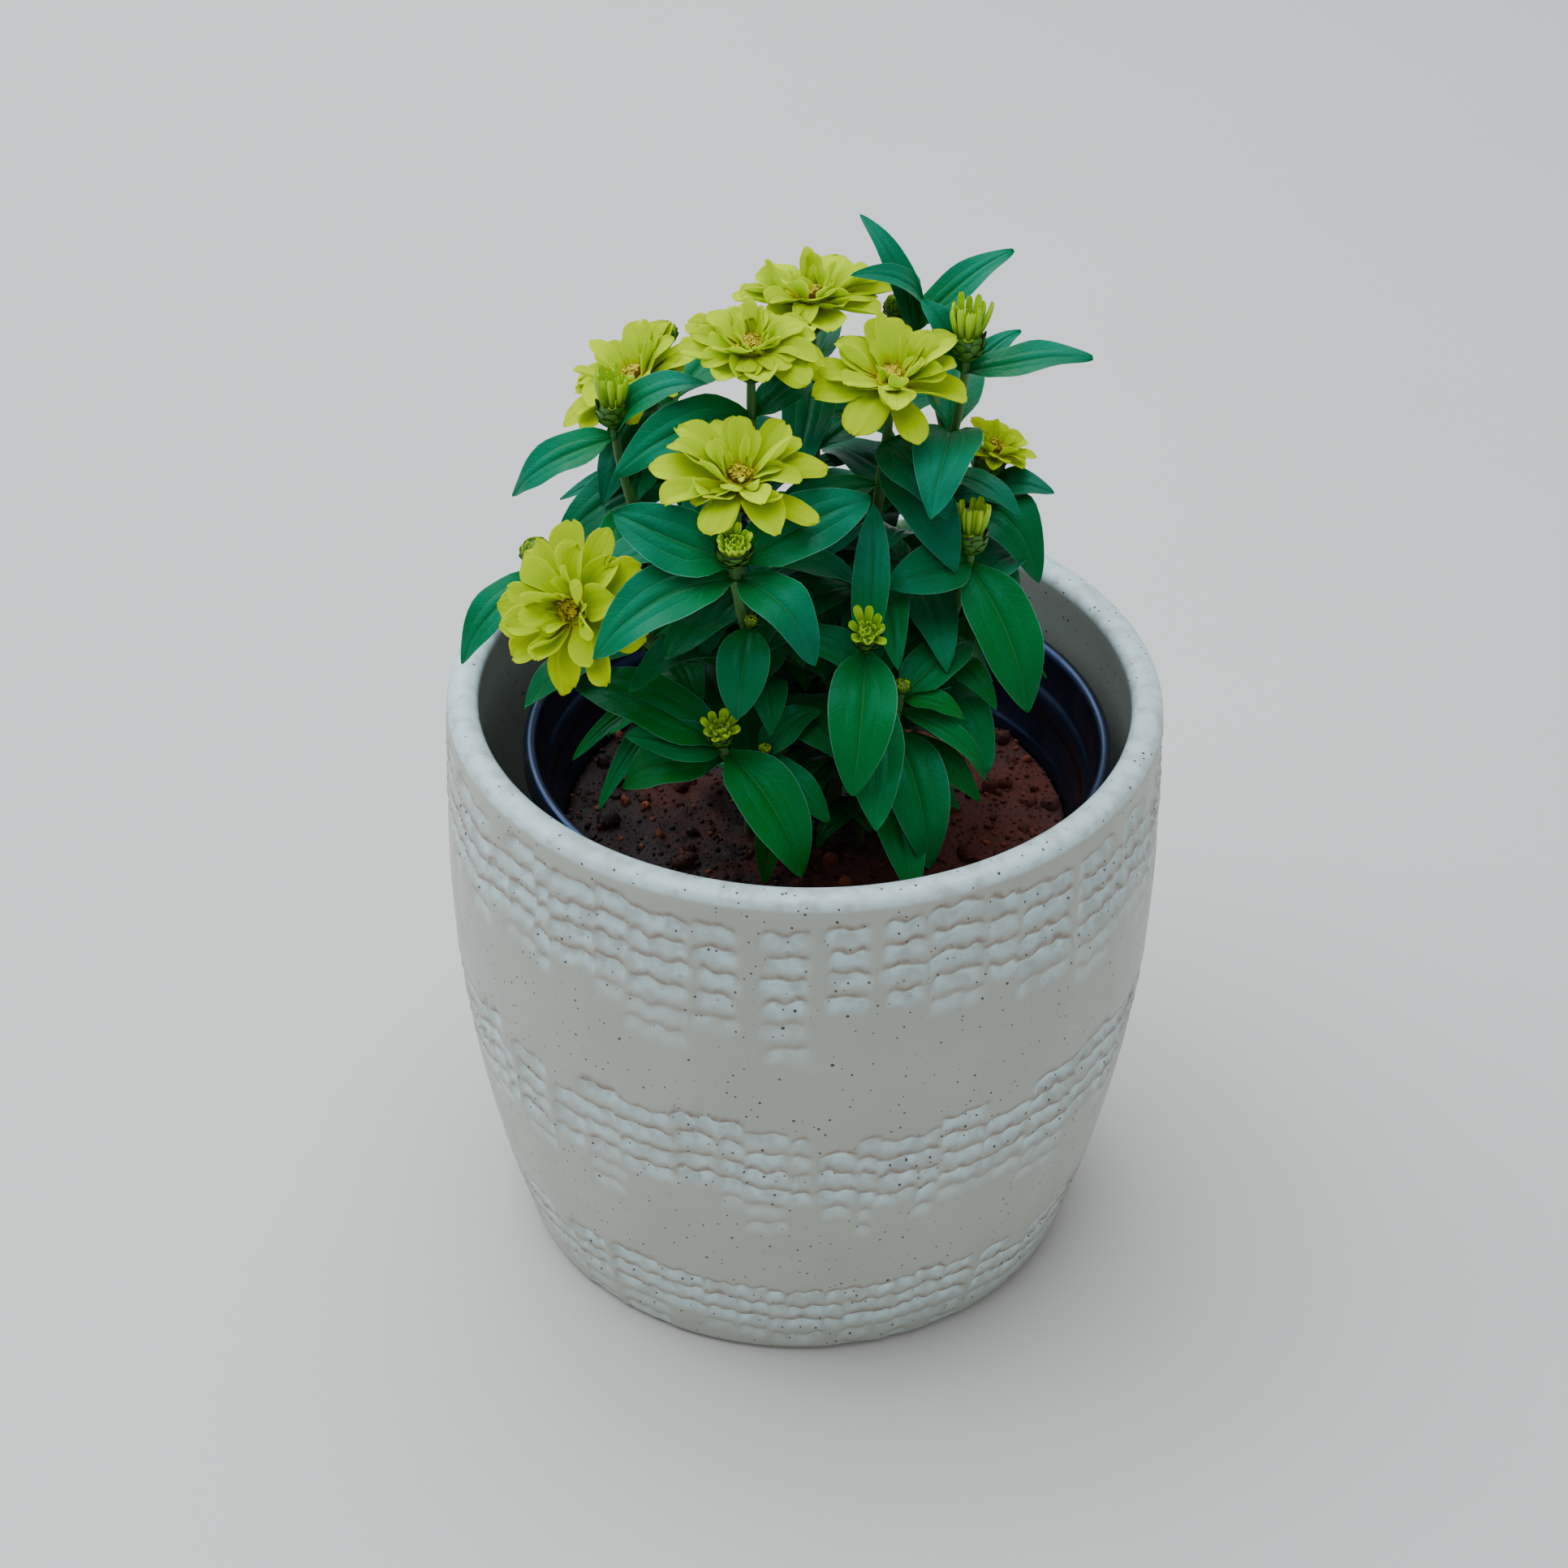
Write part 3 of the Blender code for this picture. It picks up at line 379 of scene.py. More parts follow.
# Rings of folded rays in a closed bud: how many, how high they start and end, and how far from the
# bud's axis they start and end, for a cup of the usual size
CLOSED_RAYS = ((9, 4, 8.8, 5, 2.9), (6, 5, 9.9, 3.6, 1.3))

# What a blade tries in turn until it is clear of the other nodes: a petal's extra rise in degrees,
# a drawn leaf's shift towards the front and extra arch, and a ruled leaf's swing and pitch in
# degrees and share of its length
PETAL_BENDS = (0, 7, -7, 14, -14, 22, -22, 32, 44, 56)
DRAWN_BENDS = [
    (shift, arch)
    for shift in (0, 3, -3, 6, -6, 10, -10, 15, -15, 21)
    for arch in (0, 0.06, -0.06, 0.13)
]
RULED_BENDS = [
    (swing, pitch, share)
    for share in (1, 0.82, 0.66)
    for pitch in (0, -14, 14, -28, 28, 42)
    for swing in (0, 14, -14, 28, -28)
]

# A wide floor just below the pot's foot, and soft lights like a cloudy sky, brightest overhead, a
# little behind the pot: each one's place, width and share of the power, and where they all point
FLOOR_REACH = 12000
FLOOR_DROP = 0.4
LIGHTS = {
    "overhead": ((-0.5, 0.35, 1.8), 2.8, 1),
    "front_fill": ((0.9, -1.8, 1.2), 1.6, 0.07),
}
LIGHT_TARGET = (0, 0, 0.22)

# The camera stands where the photo was taken from
IMAGE_SIZE = 1932
SENSOR_WIDTH = 36
CAMERA_FOCAL = 5000
CAMERA_ELEVATION = 36
CAMERA_DISTANCE = 1.3855
CAMERA_ROLL = 0.82
CAMERA_TARGET = (-0.00665, 0, 0.1722)


# Growth: the rough plant of the CAD, which says where there is room for each leaf and petal

# What one blade is: a leaf or a petal, before it is given its fine shape
Blade = namedtuple("Blade", "root tip half arch normal twist layer")


def circle(angle, reach=1, height=0):
    """A spot at an angle round +Z."""
    return reach * cos(angle), reach * sin(angle), height


def chance_turn(rng, degrees):
    """A turn by chance, up to so many degrees either way."""
    return radians(rng.uniform(-degrees, degrees))


def leaning(angle, out, up):
    """A way that rises from out towards up by an angle."""
    return cos(angle) * out + sin(angle) * up


def ring_faces(count, sides):
    """The faces between rings of points that follow each other."""
    faces = []
    for low in range(0, count * sides, sides):
        for k in range(sides):
            after = (k + 1) % sides
            faces.append((low + k, low + after, low + sides + after, low + sides + k))
    return faces


def turned(profile, sides, centre=Vector(), facing=UP, swell=None):
    """A closed solid turned about an axis. The profile runs from the axis below, up the outside."""
    turn = frame_along(facing)
    verts, rings, faces = [], [], []
    for row, (radius, height) in enumerate(profile):
        ring = []
        for k in range(1 if radius == 0 else sides):
            reach = radius + (swell(row, k) if swell and radius else 0)
            ring.append(len(verts))
            verts.append(centre + turn @ Vector(circle(tau * k / sides, reach, height)))
        rings.append(ring * (sides if radius == 0 else 1))
    for low, high in zip(rings, rings[1:]):
        for k in range(sides):
            after = (k + 1) % sides
            faces.append(tuple(dict.fromkeys((low[k], low[after], high[after], high[k]))))
    return verts, faces


def around(turn, count, rng, stray, offset=0, start=0):
    """Ways out from a head's axis, evenly round it but for a little straying."""
    for k in range(count):
        angle = tau * (k + offset + rng.uniform(-stray, stray)) / count + start
        yield turn @ Vector(circle(angle))


def tube(line, radii, sides):
    """A closed tube along a line of points."""
    verts = []
    last = len(line) - 1
    normal = (line[1] - line[0]).orthogonal().normalized()
    for i, (spot, radius) in enumerate(zip(line, radii)):
        ahead = (line[min(i + 1, last)] - line[max(i - 1, 0)]).normalized()
        normal = (normal - normal.dot(ahead) * ahead).normalized()
        side = ahead.cross(normal)
        for k in range(sides):
            verts.append(spot + radius * leaning(tau * k / sides, normal, side))
    ends = [tuple(range(sides - 1, -1, -1)), tuple(range(last * sides, (last + 1) * sides))]
    return verts, ring_faces(last, sides) + ends


def rough_blade(blade, stops, halves, fold, fat):
    """The plain closed blade that a finer one keeps to, for finding room among the others."""
    chord = blade.tip - blade.root
    control = blade.root + 0.5 * chord + 2 * blade.arch * chord.length * blade.normal
    line = [(1 - t) ** 2 * blade.root + 2 * t * (1 - t) * control + t * t * blade.tip for t in stops]
    last = len(line) - 1
    verts, rings = [], []
    for i, (spot, half) in enumerate(zip(line, halves)):
        ahead = (line[min(i + 1, last)] - line[max(i - 1, 0)]).normalized()
        up = (blade.normal - blade.normal.dot(ahead) * ahead).normalized()
        up = Quaternion(ahead, blade.twist * i / last) @ up
        start = len(verts)
        if half <= 0:
            verts.append(spot + fat * ahead)
            rings.append((start,) * 4)
            continue
        side = (half + fat) * ahead.cross(up)
        lift = fold * half * up
        body = (ROUGH_THICK / 2 + fat) * up
        verts += [spot + side + lift, spot + body, spot - side + lift, spot - body]
        rings.append((start, start + 1, start + 2, start + 3))
    faces = []
    for right, ridge, left, keel in (rings[0], rings[-1]):
        if right != ridge:
            faces += [(right, ridge, keel), (ridge, left, keel)]
    for low, high in zip(rings, rings[1:]):
        for edge, middle in ((0, 1), (2, 1), (2, 3), (0, 3)):
            for corners in ((low[edge], high[edge], high[middle]), (low[edge], high[middle], low[middle])):
                if len(set(corners)) == 3:
                    faces.append(corners)
    return verts, faces


def upper_side(chord, up, fallback):
    """The way a blade's upper face looks: as near up as its chord lets it."""
    ahead = chord.normalized()
    normal = up - up.dot(ahead) * ahead
    if normal.length < 0.2:
        normal = fallback - fallback.dot(ahead) * ahead
    return normal.normalized()


def rough_leaf(stops, blade, fat):
    """Half a leaf's width along it is lance-shaped, broadest below the middle."""
    halves = [blade.half * (4 * t**0.8 * (1 - t**0.8)) ** 0.8 for t in stops]
    halves[0] = STEM_TOP_RADIUS * 0.7
    return rough_blade(blade, stops, halves, LEAF_FOLD, fat)


def rough_petal(blade, fat):
    halves = [blade.half * share for share in PETAL_HALVES]
    return rough_blade(blade, PETAL_STOPS, halves, PETAL_FOLD, fat)


def spot_below(line, below):
    """The spot this far below a centre line's end, and the way the line runs there."""
    reach = [0, *accumulate((b - a).length for a, b in zip(line, line[1:]))]
    wanted = max(reach[-1] - below, 0)
    i = next(i for i, end in enumerate(reach[1:]) if end >= wanted)
    share = (wanted - reach[i]) / (reach[i + 1] - reach[i])
    ahead = line[i + 1] - line[i]
    return line[i] + share * ahead, ahead.normalized()


def shoot_curve(shoot, lines, steps):
    """Points of the stem: upright out of the soil, or leaving its parent, then bending to its head."""
    foot = shoot.foot
    if shoot.branches:
        start, ahead = spot_below(lines[shoot.start[0]], shoot.start[1])
        points = [start]
    else:
        start, ahead = Vector((*shoot.start, SOIL_TOP + 4)), UP
        points = [Vector((*shoot.start, SOIL_TOP - STEM_DEPTH)), start]
    span = (foot - start).length
    first = start + 0.34 * span * (ahead + 0.5 * (foot - start).normalized()).normalized()
    second = foot - 0.3 * span * shoot.way
    for i in range(1, steps + 1):
        t = i / steps
        spot = (1 - t) ** 3 * start + 3 * t * (1 - t) ** 2 * first
        points.append(spot + 3 * t * t * (1 - t) * second + t**3 * foot)
    points.append(foot + 1.5 * shoot.way)
    return points


def stem_radii(shoot, count):
    thin = STEM_TOP_RADIUS * min(1, max(0.6, shoot.size / CUP_RADIUS))
    thick = STEM_TOP_RADIUS if shoot.branches else STEM_FOOT_RADIUS
    return [thick + (thin - thick) * i / (count - 1) for i in range(count)]


def extent(verts):
    """The lowest and highest corner of a shape's box."""
    return [[pick(v[i] for v in verts) for i in range(3)] for pick in (min, max)]


class Plant:
    """All that has grown so far, node by node, with a tree of triangles for each rough shape."""

    def __init__(self):
        self.grown = []
        self.lines = {}
        self.blades = {}

    def grow(self, node, shape):
        self.grown.append((node, BVHTree.FromPolygons(*shape), *extent(shape[0])))

    def is_clear(self, node, verts, faces):
        """True where the shape touches nothing of another node."""
        low, high = extent(verts)
        tree = None
        for owner, other, other_low, other_high in self.grown:
            if owner == node or any(low[i] > other_high[i] or high[i] < other_low[i] for i in range(3)):
                continue
            tree = tree or BVHTree.FromPolygons(verts, faces)
            if tree.overlap(other):
                return False
        return True

    def grow_clear(self, node, make, rough, bends):
        """Keeps the first bend of a blade that is clear of every other node, if there is one."""
        for bend in bends:
            blade = make(bend)
            if self.is_clear(node, *rough(blade, GAP)):
                self.grow(node, rough(blade, 0))
                self.blades.setdefault(node, []).append(blade)
                return

    def grow_stem(self, shoot):
        """A stem and its head's cup, whose scales stand out a little by turns."""
        cup = shoot.cup

        def scales(row, k):
            if not 1 < row < len(cup) - 1:
                return 0
            return shoot.scale * SCALE_RELIEF * (1 if (row + k) % 2 else -1)

        line = self.lines[shoot.name] = shoot_curve(shoot, self.lines, STEM_STEPS)
        self.grow(shoot.node, tube(line, stem_radii(shoot, len(line)), STEM_SIDES))
        self.grow(shoot.node, turned(cup, CUP_SIDES, shoot.foot, shoot.way, scales))

    def grow_bloom(self, shoot, number):
        """A bloom's petals, in their layers."""
        rng = random.Random(SEEDS["grown petals"] + number)
        facing, centre, core = shoot.way, shoot.middle, shoot.core
        low = GAP - BLOOM_DROP
        disc = core - 2
        tops = ((0, 0), (disc, 0), (disc, 1.6), (0.62 * disc, DISC_RISE - 0.6), (0, DISC_RISE))

        def florets(row, k):
            return 0.3 if (row + k) % 2 and row > 1 else 0

        self.grow(f"disc_{number}", turned(tops, 8, centre + DISC_SEAT * facing, facing, florets))
        base = ((0, low), (core, low), (core, 1.4), (0, 1.4))
        self.grow(f"bloom_{number}", turned(base, 6, centre, facing))
        for turn, layer in enumerate(LAYERS[shoot.kind]):
            for out in around(shoot.spin, layer.count, rng, 0.16, 0.5 * turn):
                reach = shoot.size * layer.share * rng.uniform(0.9, 1.03)
                lift = layer.rise + rng.uniform(-8, 8)
                wide = layer.width * rng.uniform(0.88, 1.1)
                twist = chance_turn(rng, 16)
                arch = rng.uniform(0.02, 0.13)

                def make(bend):
                    tilt = radians(lift + bend)
                    root = centre + (core - 2.2) * out + layer.height * facing
                    tip = centre + core * out + layer.height * facing
                    tip += (reach - core) * leaning(tilt, out, facing)
                    normal = upper_side(tip - root, facing, root - tip)
                    return Blade(root, tip, wide / 2, arch, normal, twist, turn)

                self.grow_clear(f"bloom_{number}", make, rough_petal, PETAL_BENDS)

    def grow_bud_tips(self, shoot, number):
        """The room that the young petals of an opening bud take."""
        node = f"bud_petals_{number}"
        facing, size = shoot.way, shoot.size
        base = ((0, GAP), (0.74 * size, GAP), (0.74 * size, 1.8), (0, 2.8))
        self.grow(node, turned(base, 6, shoot.top, facing))
        rng = random.Random(sum(map(ord, shoot.name)))
        for count, radius, length, flare in BUD_TIPS[shoot.kind]:
            for out in around(shoot.spin, count, rng, 0.2):
                lean = radians(flare + rng.uniform(-6, 6))
                along = leaning(lean, facing, out)
                root = shoot.top + (GAP + 0.4) * facing + radius * size * out
                tip = root + length * size / CUP_RADIUS * rng.uniform(0.85, 1.1) * along
                self.grow(node, tube([root, tip], (0.8, 1.2), 3))

    def grow_drawn_leaves(self, shoot):
        for leaf in shoot.leaves:
            root, _ = spot_below(self.lines[shoot.name], leaf.below + LEAF_DROP)
            lean = UP + leaf.lean * FRONT

            def make(bend):
                tip = Vector(leaf.tip) + bend[0] * TOWARDS_FRONT
                normal = upper_side(tip - root, lean, TOWARDS_FRONT)
                return Blade(root, tip, leaf.width / 2, leaf.arch + bend[1], normal, 0, 0)

            self.grow_clear(shoot.node, make, partial(rough_leaf, LEAF_STOPS), DRAWN_BENDS)

    def grow_ruled_leaves(self, seed, offset=0, scale=1, lowest=LOWEST_PAIR):
        """Pairs of leaves further down, each pair turned a quarter from the one above it."""
        rng = random.Random(seed)
        for shoot in SHOOTS:
            for pair in range(shoot.pairs):
                below = shoot.first + (pair + offset) * PAIR_SPACING * rng.uniform(0.9, 1.1)
                root, _ = spot_below(self.lines[shoot.name], below)
                if root.z < SOIL_TOP + lowest:
                    continue
                for half in range(2):
                    azimuth = shoot.turn + 90 * (pair + offset) + 180 * half + rng.uniform(-18, 18)
                    length = scale * LEAF_LENGTH * rng.uniform(0.84, 1.08)
                    width = scale * LEAF_WIDTH * rng.uniform(0.85, 1.1)
                    lift = rng.uniform(-22, 12)
                    arch = rng.uniform(0.1, 0.2)

                    def make(bend):
                        swing, pitch, share = bend
                        turn = radians(azimuth + swing)
                        tilt = radians(lift + pitch)
                        out = Vector(circle(turn))
                        tip = root + share * length * leaning(tilt, out, UP)
                        wide = width * (0.4 + 0.6 * share)
                        normal = upper_side(tip - root, UP + OUTWARD_LEAN * out, TOWARDS_FRONT)
                        return Blade(root, tip, wide / 2, arch, normal, 0, 1)

                    self.grow_clear(shoot.node, make, partial(rough_leaf, INNER_LEAF_STOPS), RULED_BENDS)


@cache
def grown_plant():
    """The plant grown by its rules, among the pots."""
    plant = Plant()
    for node in ("cover_pot", "nursery_pot", "soil"):
        mesh = frame["nodes"][node].data
        mesh.calc_loop_triangles()
        points = [vert.co / MM for vert in mesh.vertices]
        plant.grow(node, (points, [tuple(triangle.vertices) for triangle in mesh.loop_triangles]))
    for shoot in SHOOTS:
        plant.grow_stem(shoot)
    for number, shoot in enumerate(BUDS, 1):
        plant.grow_bud_tips(shoot, number)
    for number, shoot in enumerate(BLOOMS, 1):
        plant.grow_bloom(shoot, number)
    for shoot in SHOOTS:
        plant.grow_drawn_leaves(shoot)
    plant.grow_ruled_leaves(SEEDS["grown leaves"])
    # Young pairs between the grown ones, which the CAD leaves out
    for turn, (offset, scale) in enumerate(YOUNG_PAIRS):
        plant.grow_ruled_leaves(SEEDS["young leaves"] + turn, offset, scale, LOWEST_YOUNG_PAIR)
    return plant


# Helpers


def tint(code):
    """An sRGB hex colour as linear red, green, blue and alpha."""
    shares = [int(code[i : i + 2], 16) / 255 for i in (1, 3, 5)]
    linear = [s / 12.92 if s <= 0.04045 else ((s + 0.055) / 1.055) ** 2.4 for s in shares]
    return (*linear, 1)


def add(tree, kind, *values, **settings):
    """Adds a node with its settings. Its values fill the sockets that it offers, in their order.

    A value is a number, a socket, or a node, which stands for its first output. None leaves a
    socket as it is, and a dict names the sockets that it fills. The kind leaves out what all nodes
    of its sort begin with, and may end with the node's operation.
    """
    kind, _, operation = kind.partition(" ")
    if operation:
        settings["operation"] = operation
    starts = ("ShaderNode", "GeometryNode", "FunctionNode", "Node")
    node = tree.nodes.new(next(start + kind for start in starts if hasattr(bpy.types, start + kind)))
    for name, value in settings.items():
        setattr(node, name, value)
    offered = [socket for socket in node.inputs if socket.enabled]
    filled = [pair for pair in zip(offered, values) if not isinstance(pair[1], dict)]
    for value in values:
        if isinstance(value, dict):
            filled += [(node.inputs[name], part) for name, part in value.items()]
    for socket, value in filled:
        if isinstance(value, bpy.types.Node):
            value = next(output for output in value.outputs if output.enabled)
        if isinstance(value, bpy.types.NodeSocket):
            tree.links.new(value, socket)
        elif value is not None:
            socket.default_value = value
    return node


def smooth(low, high, x):
    share = np.clip((x - low) / (high - low), 0, 1)
    return share * share * (3 - 2 * share)


def object_of(data, collection=None):
    """An object for a mesh, a light or a camera, in the scene or in a collection of shapes."""
    obj = bpy.data.objects.new(data.name, data)
    (collection or bpy.context.scene.collection).objects.link(obj)
    return obj


def new_mesh(name, points, faces=(), edges=(), unit=MM):
    """A mesh from points in millimetres, or in a unit of their own."""
    mesh = bpy.data.meshes.new(name)
    mesh.from_pydata([tuple(unit * c for c in point) for point in points], edges, faces)
    return mesh


def store(mesh, name, kind, values):
    """Stores one value for each point of a mesh."""
    layer = mesh.attributes.new(name, kind, "POINT")
    values = np.array(values, np.int32 if kind == "INT" else np.float32).ravel()
    layer.data.foreach_set("vector" if kind == "FLOAT_VECTOR" else "value", values)


@contextmanager
def shape_set(make, *values):
    """A collection of the shapes that a function makes, for as long as they are needed."""
    shapes = bpy.data.collections.new(make.__name__)
    make(shapes, *values)
    yield shapes
    for obj in list(shapes.objects):
        bpy.data.objects.remove(obj)
    bpy.data.collections.remove(shapes)


def plain_mesh(obj):
    """The mesh that an object's modifiers make. The object goes."""
    bpy.context.view_layer.update()
    graph = bpy.context.evaluated_depsgraph_get()
    mesh = bpy.data.meshes.new_from_object(obj.evaluated_get(graph), depsgraph=graph)
    bpy.data.objects.remove(obj)
    return mesh


def baked(mesh, tree, values):
    """Runs a geometry tree on a mesh, and gives back the plain mesh that it makes."""
    obj = object_of(mesh)
    modifier = obj.modifiers.new("Shape", "NODES")
    modifier.node_group = tree
    for item in tree.interface.items_tree:
        if item.item_type == "SOCKET" and item.in_out == "INPUT" and item.name in values:
            modifier[item.identifier] = values[item.name]
    return plain_mesh(obj)


KEPT = {"tone", "under", "UVMap", "pool", "lip", "sharp_edge", "sharp_face", "material_index"}


def finish_piece(name, meshes, node):
    """Joins meshes into one piece that stands for its CAD node."""
    parts = [object_of(mesh) for mesh in meshes]
    piece = parts[0]
    if len(parts) > 1:
        chosen = {"selected_objects": parts, "selected_editable_objects": parts}
        with bpy.context.temp_override(active_object=piece, **chosen):
            bpy.ops.object.join()
    piece.name = name
    attributes = piece.data.attributes
    loose = [a.name for a in attributes if a.name not in KEPT and not (a.is_required or a.is_internal)]
    for label in loose:
        attributes.remove(attributes[label])
    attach(piece, "root")
    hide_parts(node)


# Geometry trees


def new_geometry(name, **kinds):
    """A geometry tree with named inputs, what adds nodes to it, and its inputs' sockets."""
    tree = bpy.data.node_groups.new(name, "GeometryNodeTree")
    for label, kind in {"Geometry": "Geometry", **kinds, "Material": "Material"}.items():
        label = label.replace("_", " ")
        tree.interface.new_socket(label, in_out="INPUT", socket_type="NodeSocket" + kind)
    tree.interface.new_socket("Geometry", in_out="OUTPUT", socket_type="NodeSocketGeometry")
    node = partial(add, tree)
    return tree, node, node("GroupInput").outputs


def closed_tree(tree, node, given, made, crease=False):
    """Ends a geometry tree: smooth but for its creases, and in its material."""
    soft = node("SetShadeSmooth", node("SetShadeSmooth", made), crease, False, domain="EDGE")
    node("GroupOutput", node("SetMaterial", soft, None, given["Material"]))
    return tree


@cache
def blades_tree():
    """Sets a fine shape on each root point, arches and twists it, and gives it its thickness."""
    tree, node, given = new_geometry("Blades", Shapes="Collection", Thickness="Float")
    stored = {}
    for kind, names in (
        ("INT", ("shape",)),
        ("QUATERNION", ("turn",)),
        ("FLOAT_VECTOR", ("size", "rise", "root", "chord")),
        ("FLOAT", ("twist", "along", "edge")),
    ):
        for name in names:
            stored[name] = node("InputNamedAttribute", name, data_type=kind)
    shape, turn, size = (stored[name] for name in ("shape", "turn", "size"))
    shapes = node("CollectionInfo", given["Shapes"], True, True)
    placed = node("InstanceOnPoints", given["Geometry"], None, shapes, True, shape, turn, size)
    real = node("RealizeInstances", placed)
    # The arch is highest in the middle: 4 t (1 - t)
    bow = node("Math MULTIPLY", stored["along"], node("Math SUBTRACT", 1, stored["along"]))
    bow = node("Math MULTIPLY", bow, 4)
    lift = node("VectorMath SCALE", stored["rise"], bow)
    angle = node("Math MULTIPLY", stored["twist"], stored["along"])
    axis = (node("InputPosition"), stored["root"], stored["chord"])
    spun = node("VectorRotate", *axis, angle, rotation_type="AXIS_ANGLE")
    bent = node("SetPosition", real, None, spun, lift)
    down = node("Math MULTIPLY", given["Thickness"], -1)
    sunk = node("ExtrudeMesh", bent, None, None, down, False)
    top = sunk.outputs["Top"]
    # It thins out to its edge
    thin = node("Math MULTIPLY", node("Math MULTIPLY", given["Thickness"], stored["edge"]), 0.8)
    pulled = node("VectorMath SCALE", node("InputNormal"), thin)
    lens = node("SetPosition", sunk, top, None, pulled)
    back = node("StoreNamedAttribute", lens, None, "under", top)
    both = node("JoinGeometry", bent)
    tree.links.new(node("FlipFaces", back).outputs[0], both.inputs[0])
    crease = node("Compare", node("InputMeshEdgeAngle"), 0.9)
    return closed_tree(tree, node, given, node("MergeByDistance", both, None, 1e-7), crease)


@cache
def stems_tree():
    """Draws each line of points as a round stem, with the radius that its points carry."""
    tree, node, given = new_geometry("Stems", Step="Float", Sides="Int")
    line = node("MeshToCurve", given["Geometry"])
    curve = node("CurveSplineType", line, spline_type="CATMULL_ROM")
    even = node("ResampleCurve", curve, None, given["Step"], mode="LENGTH")
    ring = node("CurvePrimitiveCircle", given["Sides"], 1)
    thick = node("InputNamedAttribute", "thick")
    skin = node("CurveToMesh", even, ring, thick, True)
    return closed_tree(tree, node, given, node("RealizeInstances", skin))


@cache
def florets_tree():
    """Packs florets over a dome by the golden angle, then sets the dome in its bloom."""
    sizes = dict.fromkeys(("Radius", "Dome", "Floret_Size"), "Float")
    places = {"Centre": "Vector", "Facing": "Vector"}
    counts = {"Shapes": "Collection", "Count": "Int", "Seed": "Int"}
    tree, node, given = new_geometry("Florets", **counts, **sizes, **places)
    index = node("InputIndex")
    share = node("Math DIVIDE", node("Math ADD", index, 0.5), given["Count"])
    reach = node("Math MULTIPLY", node("Math SQRT", share), given["Radius"])
    angle = node("Math MULTIPLY", index, GOLDEN_ANGLE)
    flat = [node("Math MULTIPLY", reach, node(f"Math {wave}", angle)) for wave in ("COSINE", "SINE")]
    rise = node("Math MULTIPLY", node("Math SUBTRACT", 1, share), given["Dome"])
    points = node("Points", given["Count"], node("CombineXYZ", *flat, rise))
    # Each floret leans outwards, more so towards the edge
    away = node("CombineXYZ", *flat, node("Math MULTIPLY", given["Radius"], 1.3))
    lean = node("AlignRotationToVector", None, 1, away, axis="Z")
    size = node("RandomValue", 0.75, 1.2, None, given["Seed"])
    scale = node("Math MULTIPLY", size, given["Floret Size"])
    shapes = node("CollectionInfo", given["Shapes"], True, True)
    which = node("RandomValue", 0, 2, None, given["Seed"], data_type="INT")
    placed = node("InstanceOnPoints", points, None, shapes, True, which, lean, scale)
    toned = node("StoreNamedAttribute", placed, None, "tone", size, domain="INSTANCE")
    turn = node("AlignRotationToVector", None, 1, given["Facing"], axis="Z")
    seated = node("Transform", toned, {"Translation": given["Centre"], "Rotation": turn})
    return closed_tree(tree, node, given, node("RealizeInstances", seated))


@cache
def crumbs_tree():
    """Strews clods over the soil's upper faces, most of them small, a few large."""
    sizes = dict.fromkeys(("Density", "Spacing", "Smallest", "Largest"), "Float")
    tree, node, given = new_geometry("Crumbs", Shapes="Collection", Seed="Int", **sizes)
    seed = given["Seed"]
    upward = node("SeparateXYZ", node("InputNormal")).outputs["Z"]
    top = node("Compare", upward, 0.4)
    spread = (given["Geometry"], top, given["Spacing"], given["Density"], None, seed)
    spots = node("DistributePointsOnFaces", *spread, distribute_method="POISSON")
    chance = node("RandomValue", 0, 1, None, seed)
    rare = node("Math POWER", chance, 4)
    size = node("MapRange", rare, 0, 1, given["Smallest"], given["Largest"])
    turns = ((0, 0, 0), (tau, tau, tau))
    spin = node("RandomValue", *turns, None, seed, data_type="FLOAT_VECTOR")
    turn = node("EulerToRotation", spin)
    shapes = node("CollectionInfo", given["Shapes"], True, True)
    which = node("RandomValue", 0, CLOD_SHAPES - 1, None, seed, data_type="INT")
    placed = node("InstanceOnPoints", spots, None, shapes, True, which, turn, size)
    shade = node("RandomValue", 0, 1, None, SEEDS["clod tones"])
    toned = node("StoreNamedAttribute", placed, None, "tone", shade, domain="INSTANCE")
    both = node("JoinGeometry", node("RealizeInstances", toned))
    tree.links.new(given["Geometry"], both.inputs[0])
    return closed_tree(tree, node, given, both)


# Materials

# Most of a noise texture's values lie between these
NOISE_SPAN = (0.3, 0.7)


def new_surface(name):
    """A material without nodes, what adds nodes to it, and its place on the object."""
    material = bpy.data.materials.new(name)
    material.use_nodes = True
    material.node_tree.nodes.clear()
    node = partial(add, material.node_tree)
    return material, node, node("TexCoord").outputs["Object"]


def per_mm(spacing):
    """A texture's scale for spots about this many millimetres apart."""
    return 1 / (MM * spacing)


def clouds(node, spot, spacing, detail, low=0, high=1, span=NOISE_SPAN):
    """Soft noise of a size in millimetres. It runs from low to high over a span of the noise."""
    return node("MapRange", node("TexNoise", spot, per_mm(spacing), detail), *span, low, high)


def blade_axes(node):
    """How far across a blade, how far off its middle and how far along it a point lies."""
    axes = node("SeparateXYZ", node("UVMap", uv_map="UVMap"))
    side = node("Math MULTIPLY_ADD", axes, 2, -1)
    return axes, node("Math ABSOLUTE", side), axes.outputs["Y"]


